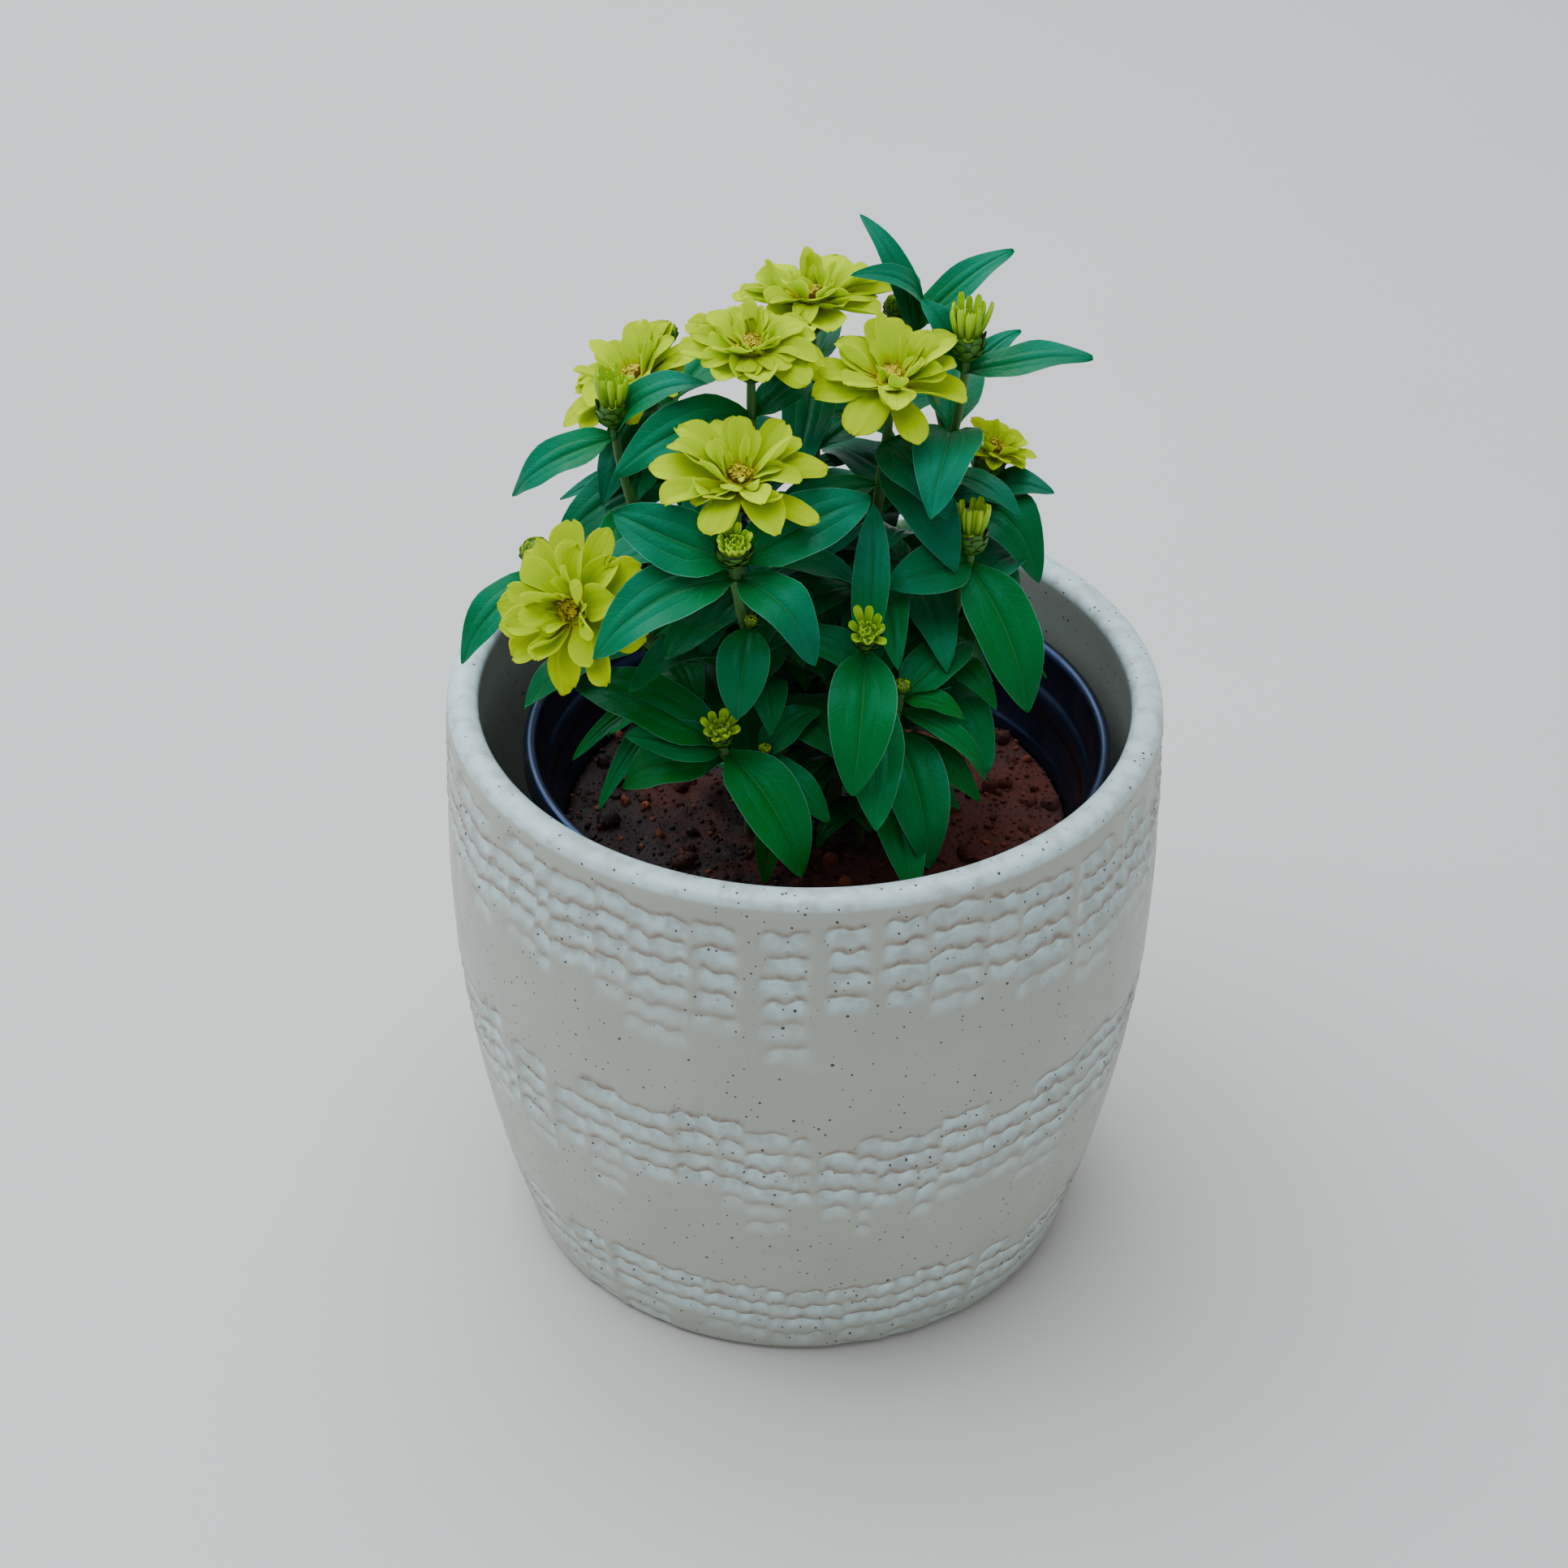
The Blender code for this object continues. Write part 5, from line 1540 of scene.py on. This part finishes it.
def stems_mesh(plant, shoots, material):
    """A node's round stems, a little thicker where a leaf leaves them."""
    points, edges, radii = [], [], []
    joints = [blade.root for blade in plant.blades.get(shoots[0].node, [])]
    for shoot in shoots:
        line = shoot_curve(shoot, plant.lines, FINE_STEM_STEPS)
        start = len(points)
        for spot, radius in zip(line, stem_radii(shoot, len(line))):
            near = min(((spot - joint).length for joint in joints), default=99)
            radii.append(MM * radius * (1 + LEAF_JOINT_SWELL * exp(-((near / 3) ** 2))))
            points.append(tuple(MM * spot))
        edges += [(i, i + 1) for i in range(start, len(points) - 1)]
    mesh = new_mesh("stem_lines", points, edges=edges, unit=1)
    store(mesh, "thick", "FLOAT", radii)
    values = {"Step": MM * FINE_STEM_STEP, "Sides": FINE_STEM_SIDES, "Material": material}
    return baked(mesh, stems_tree(), values)


def fine_lathe(name, profile, sides, centre, facing, material):
    """A smooth turned solid, with a UV map of its own."""
    mesh = new_mesh(name, *turned(profile, sides, centre, facing))
    mesh.materials.append(material)
    mesh.uv_layers.new(name="UVMap")
    mesh.shade_smooth()
    return mesh


def small_row(rng, root, tip, half, face, fallback, arch, twist=0):
    """A row for a bract or a rolled ray, whose shape and tone fall by chance."""
    normal = upper_side(tip - root, face, fallback)
    shape, tone = rng.randrange(SMALL_SHAPES), rng.random()
    return Row(root, tip, half, normal, arch * normal, twist, shape, tone)


def cup_rows(shoot, rng):
    """Bracts in rings up a cup, each ring's ends outside the next ring's feet."""
    facing, size, foot = shoot.way, shoot.scale, shoot.foot
    closed = shoot.kind == "closed"
    radii, levels = zip(*shoot.cup)
    top = levels[-1]
    reaches = [*radii[:-1], radii[-2] * (0.25 if closed else 1)]
    rings = 5 if closed else 4
    rows = []
    for ring in range(rings):
        low = top * (0.02 + (0.5 if closed else 0.8) * ring / (rings - 1))
        high = low + (0.4 if closed else 0.5) * top
        for out in around(shoot.spin, 7 if ring < 3 else 6, rng, 0.1, 0.5 * ring):
            inner = max(np.interp(low, levels, reaches), 0.5 * size)
            outer = np.interp(min(high, top), levels, reaches)
            root = foot + float(inner - 0.1) * out + low * facing
            tip = foot + float(outer + 0.5 * size - 0.08 * ring) * out + high * facing
            half = size * rng.uniform(2.2, 2.7) * (0.75 if ring == 0 else 1)
            rows.append(small_row(rng, root, tip, half, out, facing, 0.22 * size))
    return rows


def bud_tip_rows(shoot, rng):
    """The folded rays that just show in a closed bud, leaning together over its middle."""
    facing, size, foot = shoot.way, shoot.scale, shoot.foot
    rows = []
    for count, low, high, start, end in CLOSED_RAYS:
        for out in around(shoot.spin, count, rng, 0.15, start=low):
            root = foot + size * (start * out + low * facing)
            tip = foot + size * (end * out + high * rng.uniform(0.94, 1.04) * facing)
            rows.append(small_row(rng, root, tip, 0.95 * size, out, facing, 0.55 * size))
    return rows


# The pieces


class ZINNIA_OT_leafy_stems(bpy.types.Operator):
    """Make each leafy stem: its stems, leaves, green cups and closed buds"""

    bl_idname = "zinnia.leafy_stems"
    bl_label = "Leafy Stems"

    def execute(self, context):
        look = context.scene.zinnia_plant
        leaf, stem = leaf_material(look), stem_material(look)
        bract, young = bract_material(look), bud_petal_material(look)
        with (
            shape_set(leaf_shapes) as leaves,
            shape_set(bract_shapes) as bracts,
            shape_set(rolled_shapes) as rolled,
        ):
            plant = grown_plant()
            for number in range(1, SHOOTS[-1].stem + 1):
                rng = random.Random(SEEDS["leafy stems"] + number)
                shoots = [shoot for shoot in SHOOTS if shoot.stem == number]
                node = shoots[0].node
                rows = blade_rows(plant.blades[node], LEAF_SHAPES, rng, leaf_tone)
                meshes = [
                    stems_mesh(plant, shoots, stem),
                    blades_mesh(rows, leaves, look.leaf_thickness, leaf),
                ]
                rows = []
                for shoot in shoots:
                    rows += cup_rows(shoot, rng)
                    size = shoot.scale
                    profile = [(size * 0.93 * r, size * (0.3 + 0.97 * h)) for r, h in CUP[shoot.kind]]
                    meshes.append(fine_lathe("cup", profile, 16, shoot.foot, shoot.way, bract))
                meshes.append(blades_mesh(rows, bracts, MM * BRACT_THICK, bract))
                closed = [shoot for shoot in shoots if shoot.kind == "closed"]
                rows = [row for shoot in closed for row in bud_tip_rows(shoot, rng)]
                if rows:
                    meshes.append(blades_mesh(rows, rolled, MM * CLOSED_RAY_THICK, young))
                finish_piece(f"zinnia_shoot_{number:02d}", meshes, node)
        return {"FINISHED"}


def twin_blades(shoot, blades, rng):
    """Narrower petals between most of a bloom's outer ones, a little above them."""
    facing, centre = shoot.way, shoot.middle
    twins = []
    for blade in blades:
        if blade.layer > 0 or rng.random() > TWIN_SHARE:
            continue
        count = LAYERS[shoot.kind][0].count
        turn = Quaternion(facing, pi / count * rng.uniform(0.8, 1.2))
        root = centre + turn @ (blade.root - centre) + 0.8 * facing
        chord = turn @ (blade.tip - blade.root)
        side = chord.cross(facing).normalized()
        chord = Quaternion(side, radians(rng.uniform(5, 14))) @ chord * rng.uniform(0.72, 0.92)
        normal = upper_side(chord, facing, -chord)
        twist = chance_turn(rng, 22)
        twins.append(Blade(root, root + chord, 0.8 * blade.half, blade.arch, normal, twist, 0))
    return twins


def inner_rows(shoot, rng):
    """The small rays that crowd round a bloom's disc, with straps among them, nearly upright."""
    facing = shoot.way
    scale = shoot.size / BLOOM_RADIUS
    rows = []
    for ring in INNER_RAYS:
        count = ring.count - 2 if shoot.kind == "small bloom" else ring.count
        for out in around(shoot.spin, count, rng, 0.42, start=ring.reach):
            # The far side stands up more than the near one
            tilt = radians(ring.rise + rng.uniform(-17, 17) + 15 * out.y)
            length = ring.reach * scale * rng.uniform(0.75, 1.2)
            root = shoot.middle + (shoot.core - ring.inset) * out + ring.height * facing
            tip = root + length * leaning(tilt, out, facing)
            normal = upper_side(tip - root, facing - 0.6 * out, -out)
            rise = rng.uniform(-0.1, 0.16) * length * normal
            twist = chance_turn(rng, 55)
            half = 0.5 * ring.width * scale * rng.uniform(0.75, 1.25)
            shape = rng.randrange(PETAL_SHAPES)
            tone = ring.tone * rng.uniform(0.7, 1.2)
            rows.append(Row(root, tip, half, normal, rise, twist, shape, tone))
    return rows


class ZINNIA_OT_blooms(bpy.types.Operator):
    """Make each open bloom: its petals in their layers on the receptacle, and its disc of florets"""

    bl_idname = "zinnia.blooms"
    bl_label = "Blooms"

    def execute(self, context):
        look = context.scene.zinnia_plant
        petal, disc = petal_material(look), disc_material(look)
        with shape_set(petal_shapes) as petals, shape_set(floret_shapes) as florets:
            for number, shoot in enumerate(BLOOMS, 1):
                rng = random.Random(SEEDS["blooms"] + number)
                facing, centre, core = shoot.way, shoot.middle, shoot.core
                low = GAP - BLOOM_DROP
                profile = [(0, low), (core - 0.6, low), (core, low + 0.6)]
                profile += [(core, 0.6), (core - 0.8, 1.4), (0, 1.4)]
                grown = grown_plant().blades[f"bloom_{number}"]
                grown = grown + twin_blades(shoot, grown, rng)
                rows = blade_rows(grown, PETAL_SHAPES, rng, lambda blade: 0.4, (0.8, 1.08))
                rows += inner_rows(shoot, rng)
                meshes = [
                    fine_lathe("receptacle", profile, 24, centre, facing, petal),
                    blades_mesh(rows, petals, look.petal_thickness, petal),
                ]
                finish_piece(f"zinnia_bloom_{number}", meshes, f"bloom_{number}")
                edge = core - 2
                dome = ((0, 0), (edge, 0), (edge, 0.9), (0.8 * edge, 1.5), (0.5 * edge, 1.9), (0, 2.1))
                seat = centre + DISC_SEAT * facing
                values = {
                    "Shapes": florets,
                    "Count": FLORETS[shoot.kind],
                    "Radius": MM * (edge - 0.4),
                    "Dome": MM * DISC_DOME,
                    "Floret Size": MM * FLORET_SIZE,
                    "Centre": tuple(MM * (seat + 0.9 * facing)),
                    "Facing": tuple(facing),
                    "Seed": number,
                    "Material": disc,
                }
                meshes = [
                    fine_lathe("dome", dome, 24, seat, facing, disc),
                    baked(new_mesh("host", [(0, 0, 0)]), florets_tree(), values),
                ]
                finish_piece(f"zinnia_disc_{number}", meshes, f"disc_{number}")
        return {"FINISHED"}


def rolled_rows(shoot, rng):
    """The rolled rays that stand out of an opening bud."""
    facing, scale = shoot.way, shoot.scale
    # The small buds are further on, and their rays lean out
    flared = shoot.kind == "young" and shoot.size < 5
    sway = 13 if flared else 6
    rows = []
    for count, radius, length, flare, width in ROLLED_RAYS["flared" if flared else shoot.kind]:
        for out in around(shoot.spin, count, rng, 0.22, start=radius):
            lean = radians(flare + rng.uniform(-sway, sway))
            along = leaning(lean, facing, out)
            root = shoot.top + (GAP + 0.5) * facing + radius * shoot.size * out
            tip = root + length * scale * rng.uniform(0.78, 1.1) * along
            half = 0.5 * width * scale * rng.uniform(0.85, 1.1)
            twist = chance_turn(rng, 20)
            arch = -0.05 * length * scale
            rows.append(small_row(rng, root, tip, half, -out, facing, arch, twist))
    return rows


class ZINNIA_OT_bud_petals(bpy.types.Operator):
    """Make the rolled young petals that stand out of each opening bud"""

    bl_idname = "zinnia.bud_petals"
    bl_label = "Bud Petals"

    def execute(self, context):
        young = bud_petal_material(context.scene.zinnia_plant)
        with shape_set(rolled_shapes) as rolled:
            for number, shoot in enumerate(BUDS, 1):
                base = 0.74 * shoot.size
                profile = ((0, GAP), (base, GAP), (base, 0.8), (0.8 * base, 1.1), (0, 1.2))
                rows = rolled_rows(shoot, random.Random(SEEDS["bud petals"] + number))
                meshes = [
                    fine_lathe("base", profile, 16, shoot.top, shoot.way, young),
                    blades_mesh(rows, rolled, MM * ROLLED_RAY_THICK, young),
                ]
                finish_piece(f"zinnia_bud_petals_{number}", meshes, f"bud_petals_{number}")
        return {"FINISHED"}


def pot_radius(height):
    """The cover pot's outer wall: one parabola from foot to belly, and a flatter one to the mouth."""
    below = height < POT_BELLY_HEIGHT
    end = POT_FOOT_RADIUS if below else POT_RADIUS
    span = POT_BELLY_HEIGHT if below else POT_HEIGHT - POT_BELLY_HEIGHT
    return POT_BELLY_RADIUS - (POT_BELLY_RADIUS - end) * ((height - POT_BELLY_HEIGHT) / span) ** 2


def scoop_strips(rng, band):
    """Strips of stacked scoops side by side round the wall: left and right end, scoops across, lift.

    Most strips touch, and their scoops run on as a rope. At the front, gaps keep them apart.
    """
    strips = []
    girth = tau * POT_RADIUS
    place = lift = 0

    def gap(spot):
        return band.gap * exp(-(((spot - 0.75 * girth) / band.spread) ** 2))

    while place < girth - 9:
        across = 2 if gap(place) > 3 else rng.choice((1, 2, 2, 2, 3))
        right = min(place + across * rng.uniform(5.8, 8), girth - 0.5)
        strips.append((place, right, across, lift))
        apart = gap(right) - 0.4
        if rng.random() < band.breaks:
            apart += rng.uniform(2, 4.5)
        place = right + apart
        lift = 0.55 * lift + rng.uniform(-band.stagger, band.stagger)
    return strips


def scooped(angles, heights):
    """The wall's scoops at each point: how deep it lies, how near its lip it is, and how much pooled glaze
    and painted highlight it takes.

    A scoop drops sharply under its lip and rises slowly to the wall again, like a thumb's press.
    """
    rng = random.Random(SEEDS["scoops"])
    depth, lip, pool = fields = np.zeros((3, len(heights), len(angles)))
    round_mm = angles * POT_RADIUS
    for band in SCOOP_BANDS:
        sway = [rng.uniform(0, tau) for _ in range(2)]
        wander = 0.8 * np.sin(7 * angles + sway[0]) + 0.5 * np.sin(19 * angles + sway[1])
        for left, right, across, lift in scoop_strips(rng, band):
            first = rng.choice((0, 0, 0, 1))
            last = band.rows + rng.choice((-1, 0, 0, 1))
            inside = (round_mm > left - 1.3) & (round_mm < right + 1.3)
            edge = (band.top + lift + wander)[inside]
            spot = round_mm[inside]
            share = (spot - left) / (right - left) * across
            arc = np.abs(np.sin(pi * share)) ** 0.9
            for row in range(first, last):
                hops = [rng.uniform(-1, 1) for _ in range(across + 1)]
                ends = [rng.uniform(-1.3, 1.3) for _ in range(2)]
                aside = np.minimum(spot - left + ends[0], right - spot + ends[1])
                bow = rng.uniform(0.1, 0.9)
                jump = np.interp(share, range(across + 1), hops)
                jump = jump + 0.5 * np.sin(0.75 * spot + 1.9 * row + lift)
                sunk = rng.uniform(0.75, 1.1) * (0.5 if row >= band.rows - 1 else 1)
                top = edge - band.pitch * row + bow * (arc - 1) + jump
                fade = smooth(-1.5, 2, aside) * (0.95 + 0.05 * arc) * sunk
                below = (top[None, :] - heights[:, None]) / band.pitch
                drop = smooth(-0.04, 0.26, below) * (1 - smooth(0.28, 1.06, below))
                # The lip's band: a glaze break, and a painted shade under the lip
                crest = np.exp(-(((below - 0.02) / 0.18) ** 2))
                # Pooled glaze and a painted highlight fill the upward-facing floor below each lip
                full = smooth(0.1, 0.3, below) * (1 - smooth(0.45, 0.95, below)) * (0.85 + 0.15 * arc)
                for field, value in zip(fields, (drop, crest, full)):
                    field[:, inside] = np.maximum(field[:, inside], value * fade)
    return depth, lip, pool


def pot_wall_heights():
    """Heights of the cover pot's outer rings: close together in the bands, wide apart between them."""
    heights = []
    for band in SCOOP_BANDS:
        low = band.top - band.pitch * (band.rows + 1) - 3
        heights += list(np.arange(max(low, 1.9), band.top + 3.4, SCOOP_STEP))
    for low, high in PLAIN_STRETCHES:
        heights += list(np.linspace(low, high, max(round((high - low) / 6), 2)))
    return np.array(sorted(heights))


class ZINNIA_OT_cover_pot(bpy.types.Operator):
    """Make the glazed cover pot, turned on a wheel, with its three bands of pressed scoops"""

    bl_idname = "zinnia.cover_pot"
    bl_label = "Cover Pot"

    def execute(self, context):
        look = context.scene.zinnia_pots
        heights = pot_wall_heights()
        angles = np.arange(POT_COLUMNS) * tau / POT_COLUMNS
        depth, lip, pool = scooped(angles, heights)
        reach = np.array([pot_radius(height) for height in heights])[:, None]
        reach = reach + 0.25 * lip - look.scoop_depth / MM * depth
        tall = np.broadcast_to(heights[:, None], reach.shape)
        wall = np.stack((reach * np.cos(angles), reach * np.sin(angles), tall), axis=2)
        verts = wall.reshape(-1, 3).tolist()
        grid = np.arange(reach.size).reshape(reach.shape)
        after = np.roll(grid, -1, axis=1)
        faces = np.stack((grid[:-1], after[:-1], after[1:], grid[1:]), axis=2).reshape(-1, 4).tolist()
        # The foot and the inside need only half as many columns as the scooped wall
        half = POT_COLUMNS // 2
        foot = POT_FOOT_RADIUS - POT_FOOT_ROUND
        under = [(foot + 3.4, 1.2), (foot + 2.2, 0.4), (foot, 0), (0.7 * foot, 0), (0, 0)]
        over = []
        for turn in between(15, 0, pi):
            reach = POT_RADIUS + 0.5 * POT_WALL * (cos(turn) - 1)
            over.append((reach, RIM_BASE + RIM_RISE * sin(turn) ** 0.75))
        for height in np.linspace(POT_HEIGHT - 9, POT_FLOOR + 8, 24):
            over.append((pot_radius(height) - POT_WALL, height))
        cove = pot_radius(POT_FLOOR) - POT_WALL
        for inset, rise in ((1.5, 4), (4, 1.2), (9, 0), (cove, 0)):
            over.append((cove - inset, POT_FLOOR + rise))
        for edge, profile, flip in ((grid[0].tolist(), under, True), (grid[-1].tolist(), over, False)):
            start = len(verts)
            for radius, height in profile[:-1]:
                verts += [circle(tau * k / half, radius, height) for k in range(half)]
            verts.append((0, 0, profile[-1][1]))
            made = []
            for k in range(half):
                low, mid, high = (edge[i % POT_COLUMNS] for i in (2 * k, 2 * k + 1, 2 * k + 2))
                near, far = start + k, start + (k + 1) % half
                made += [(low, mid, near), (mid, high, far), (mid, far, near)]
                for _ in profile[2:]:
                    made.append((near, far, far + half, near + half))
                    near, far = near + half, far + half
                made.append((near, far, len(verts) - 1))
            faces += [face[::-1] for face in made] if flip else made
        mesh = new_mesh("pot", verts, faces)
        # Painted highlight: the rim's top takes the pools' pale colour
        on_rim = np.array([spot[2] > RIM_BASE + 1 for spot in verts], np.float32)
        for name, field in (("lip", lip), ("pool", pool)):
            values = on_rim * RIM_PAINTED_HIGHLIGHT[name]
            values[: field.size] = field.ravel()
            store(mesh, name, "FLOAT", values)
        mesh.materials.append(glaze_material(look))
        mesh.shade_smooth()
        finish_piece("stoneware_cover_pot", [mesh], "cover_pot")
        return {"FINISHED"}


class ZINNIA_OT_nursery_pot(bpy.types.Operator):
    """Make the black nursery pot, with its rolled rim, its rings and its drain holes"""

    bl_idname = "zinnia.nursery_pot"
    bl_label = "Nursery Pot"

    def execute(self, context):
        seat = Vector((NURSERY_SHIFT, 0, POT_FLOOR + GAP))
        rim, top, foot = NURSERY_RIM_RADIUS, NURSERY_HEIGHT, NURSERY_FOOT_RADIUS
        skirt = top - NURSERY_RIM_DROP
        step = rim - 4.5
        inner = step - NURSERY_WALL
        profile = [(0, 0), (foot - 1, 0), (foot + 1.5, 0.8), (foot + 3, 3)]
        profile += [(step - inset, skirt - drop) for inset, drop in NURSERY_OUTSIDE]
        profile += [(rim - 0.4, skirt), (rim, skirt + 0.5)]
        profile += [(rim - inset, top - drop) for inset, drop in NURSERY_RIM]
        profile += [(inner - inset, skirt - drop) for inset, drop in NURSERY_INSIDE]
        profile += [(foot + 3 - NURSERY_WALL, 3.6), (foot + 0.5 - NURSERY_WALL, 2.2), (0, 2)]
        pot = object_of(new_mesh("nursery", *turned(profile, 144, seat)))

        def drains(collection):
            post = ((0, -2), (DRAIN_RADIUS, -2), (DRAIN_RADIUS, 5), (0, 5))
            for k in range(DRAIN_HOLES):
                spot = seat + DRAIN_SHARE * foot * Vector(circle(tau * k / DRAIN_HOLES))
                object_of(new_mesh("drain", *turned(post, 24, spot)), collection)

        with shape_set(drains) as cutters:
            bore = pot.modifiers.new("Drains", "BOOLEAN")
            bore.operation = "DIFFERENCE"
            bore.operand_type = "COLLECTION"
            bore.collection = cutters
            mesh = plain_mesh(pot)
        mesh.materials.clear()
        mesh.materials.append(nursery_material(context.scene.zinnia_pots))
        mesh.shade_smooth()
        mesh.set_sharp_from_angle(angle=radians(55))
        finish_piece("plastic_nursery_pot", [mesh], "nursery_pot")
        return {"FINISHED"}


class ZINNIA_OT_soil(bpy.types.Operator):
    """Make the bed of laterite soil, strewn with clods and crumbs"""

    bl_idname = "zinnia.soil"
    bl_label = "Soil"

    def execute(self, context):
        look = context.scene.zinnia_pots
        low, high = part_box("soil")
        seat = Vector((NURSERY_SHIFT, 0, 0))
        foot = low[2] / MM
        top = SOIL_TOP
        broad = 0.5 * (high[0] - low[0]) / MM
        narrow = NURSERY_FOOT_RADIUS - 2
        profile = [(0, foot), (narrow - 4, foot), (narrow, foot + 4)]
        profile += [(broad - 0.2, top - 2.2), (broad - 1, top - 0.8)]
        reach = broad - 2
        while reach > 1.5:
            profile.append((reach, top))
            reach -= 1.9
        profile.append((0, top))
        verts, faces = turned(profile, 150, seat)
        for i, spot in enumerate(verts):
            if spot.z > top - 1.5:
                lump = noise.fractal(spot * 0.055, 0.9, 2.2, 5)
                fine = noise.fractal(spot * 0.3, 0.8, 2.1, 4)
                rise = max(min(2 * lump + 1.3 * fine, SOIL_ROUGHNESS), -SOIL_ROUGHNESS)
                rise *= 1 - float(smooth(0.94 * broad, broad, (spot - seat).to_2d().length))
                verts[i] = spot + rise * UP
        mesh = new_mesh("bed", verts, faces)
        soil = soil_material(look)
        # Large clods first, then small crumbs among and on them
        for turn, grain in enumerate(SOIL_GRAINS):
            with shape_set(clod_shapes, grain.detail) as clods:
                values = {
                    "Shapes": clods,
                    "Density": grain.density,
                    "Spacing": MM * grain.spacing,
                    "Smallest": MM * grain.smallest,
                    "Largest": MM * grain.largest,
                    "Seed": look.clods + turn,
                    "Material": soil,
                }
                mesh = baked(mesh, crumbs_tree(), values)
        finish_piece("laterite_soil_bed", [mesh], "soil")
        return {"FINISHED"}


class ZINNIA_OT_stage(bpy.types.Operator):
    """Make the plain floor, the soft light and the camera"""

    bl_idname = "zinnia.stage"
    bl_label = "Stage"

    def execute(self, context):
        scene = context.scene
        look = scene.zinnia_stage
        ways = ((-1, -1), (1, -1), (1, 1), (-1, 1))
        corners = [(x * FLOOR_REACH, y * FLOOR_REACH, -FLOOR_DROP) for x, y in ways]
        floor = object_of(new_mesh("studio_floor", corners, [(0, 1, 2, 3)]))
        floor.data.materials.append(floor_material(look))
        scene.world = bpy.data.worlds.new("soft_sky")
        scene.world.use_nodes = True
        sky = scene.world.node_tree.nodes["Background"].inputs
        sky["Color"].default_value = look.sky
        sky["Strength"].default_value = look.sky_strength
        for name, (place, width, share) in LIGHTS.items():
            data = bpy.data.lights.new(name, "AREA")
            data.energy = look.overhead * share
            data.color = look.sky[:3]
            data.size = width
            light = object_of(data)
            light.location = place
            aim = Vector(LIGHT_TARGET) - Vector(place)
            light.rotation_euler = aim.to_track_quat("-Z", "Y").to_euler()
        data = bpy.data.cameras.new("photo_view")
        data.sensor_width = SENSOR_WIDTH
        data.lens = CAMERA_FOCAL / IMAGE_SIZE * SENSOR_WIDTH
        scene.camera = object_of(data)
        tilt = radians(CAMERA_ELEVATION)
        back = Vector((0, -cos(tilt), sin(tilt)))
        roll = Quaternion(back, radians(CAMERA_ROLL))
        scene.camera.rotation_mode = "QUATERNION"
        scene.camera.rotation_quaternion = roll @ back.to_track_quat("Z", "Y")
        scene.camera.location = Vector(CAMERA_TARGET) + CAMERA_DISTANCE * back
        return {"FINISHED"}


class ZINNIA_PT_panel(bpy.types.Panel):
    """The plant's sizes and colours, and a button for each group of its pieces"""

    bl_idname = "ZINNIA_PT_panel"
    bl_label = "Potted Zinnia"
    bl_space_type = "VIEW_3D"
    bl_region_type = "UI"
    bl_category = "Zinnia"

    def draw(self, context):
        for group, (settings, makers) in GROUPS.items():
            box = self.layout.box()
            box.label(text=group.removeprefix("zinnia_").title())
            for name in settings.__annotations__:
                box.prop(getattr(context.scene, group), name)
            for maker in makers:
                box.operator(f"zinnia.{maker}")


# Each group's settings and what makes its pieces
GROUPS = {
    "zinnia_pots": (ZinniaPotSettings, ("cover_pot", "nursery_pot", "soil")),
    "zinnia_plant": (ZinniaPlantSettings, ("leafy_stems", "blooms", "bud_petals")),
    "zinnia_stage": (ZinniaStageSettings, ("stage",)),
}
CLASSES = (
    ZinniaPotSettings,
    ZinniaPlantSettings,
    ZinniaStageSettings,
    ZINNIA_OT_cover_pot,
    ZINNIA_OT_nursery_pot,
    ZINNIA_OT_soil,
    ZINNIA_OT_leafy_stems,
    ZINNIA_OT_blooms,
    ZINNIA_OT_bud_petals,
    ZINNIA_OT_stage,
    ZINNIA_PT_panel,
)


def register():
    for cls in CLASSES:
        bpy.utils.register_class(cls)
    for name, (settings, _) in GROUPS.items():
        setattr(bpy.types.Scene, name, bpy.props.PointerProperty(type=settings))


def unregister():
    for name in GROUPS:
        delattr(bpy.types.Scene, name)
    for cls in reversed(CLASSES):
        bpy.utils.unregister_class(cls)


def main():
    register()
    bpy.ops.zinnia.cover_pot()
    bpy.ops.zinnia.nursery_pot()
    bpy.ops.zinnia.soil()
    bpy.ops.zinnia.leafy_stems()
    bpy.ops.zinnia.blooms()
    bpy.ops.zinnia.bud_petals()
    bpy.ops.zinnia.stage()
    bpy.context.view_layer.update()


if __name__ == "__main__":
    main()
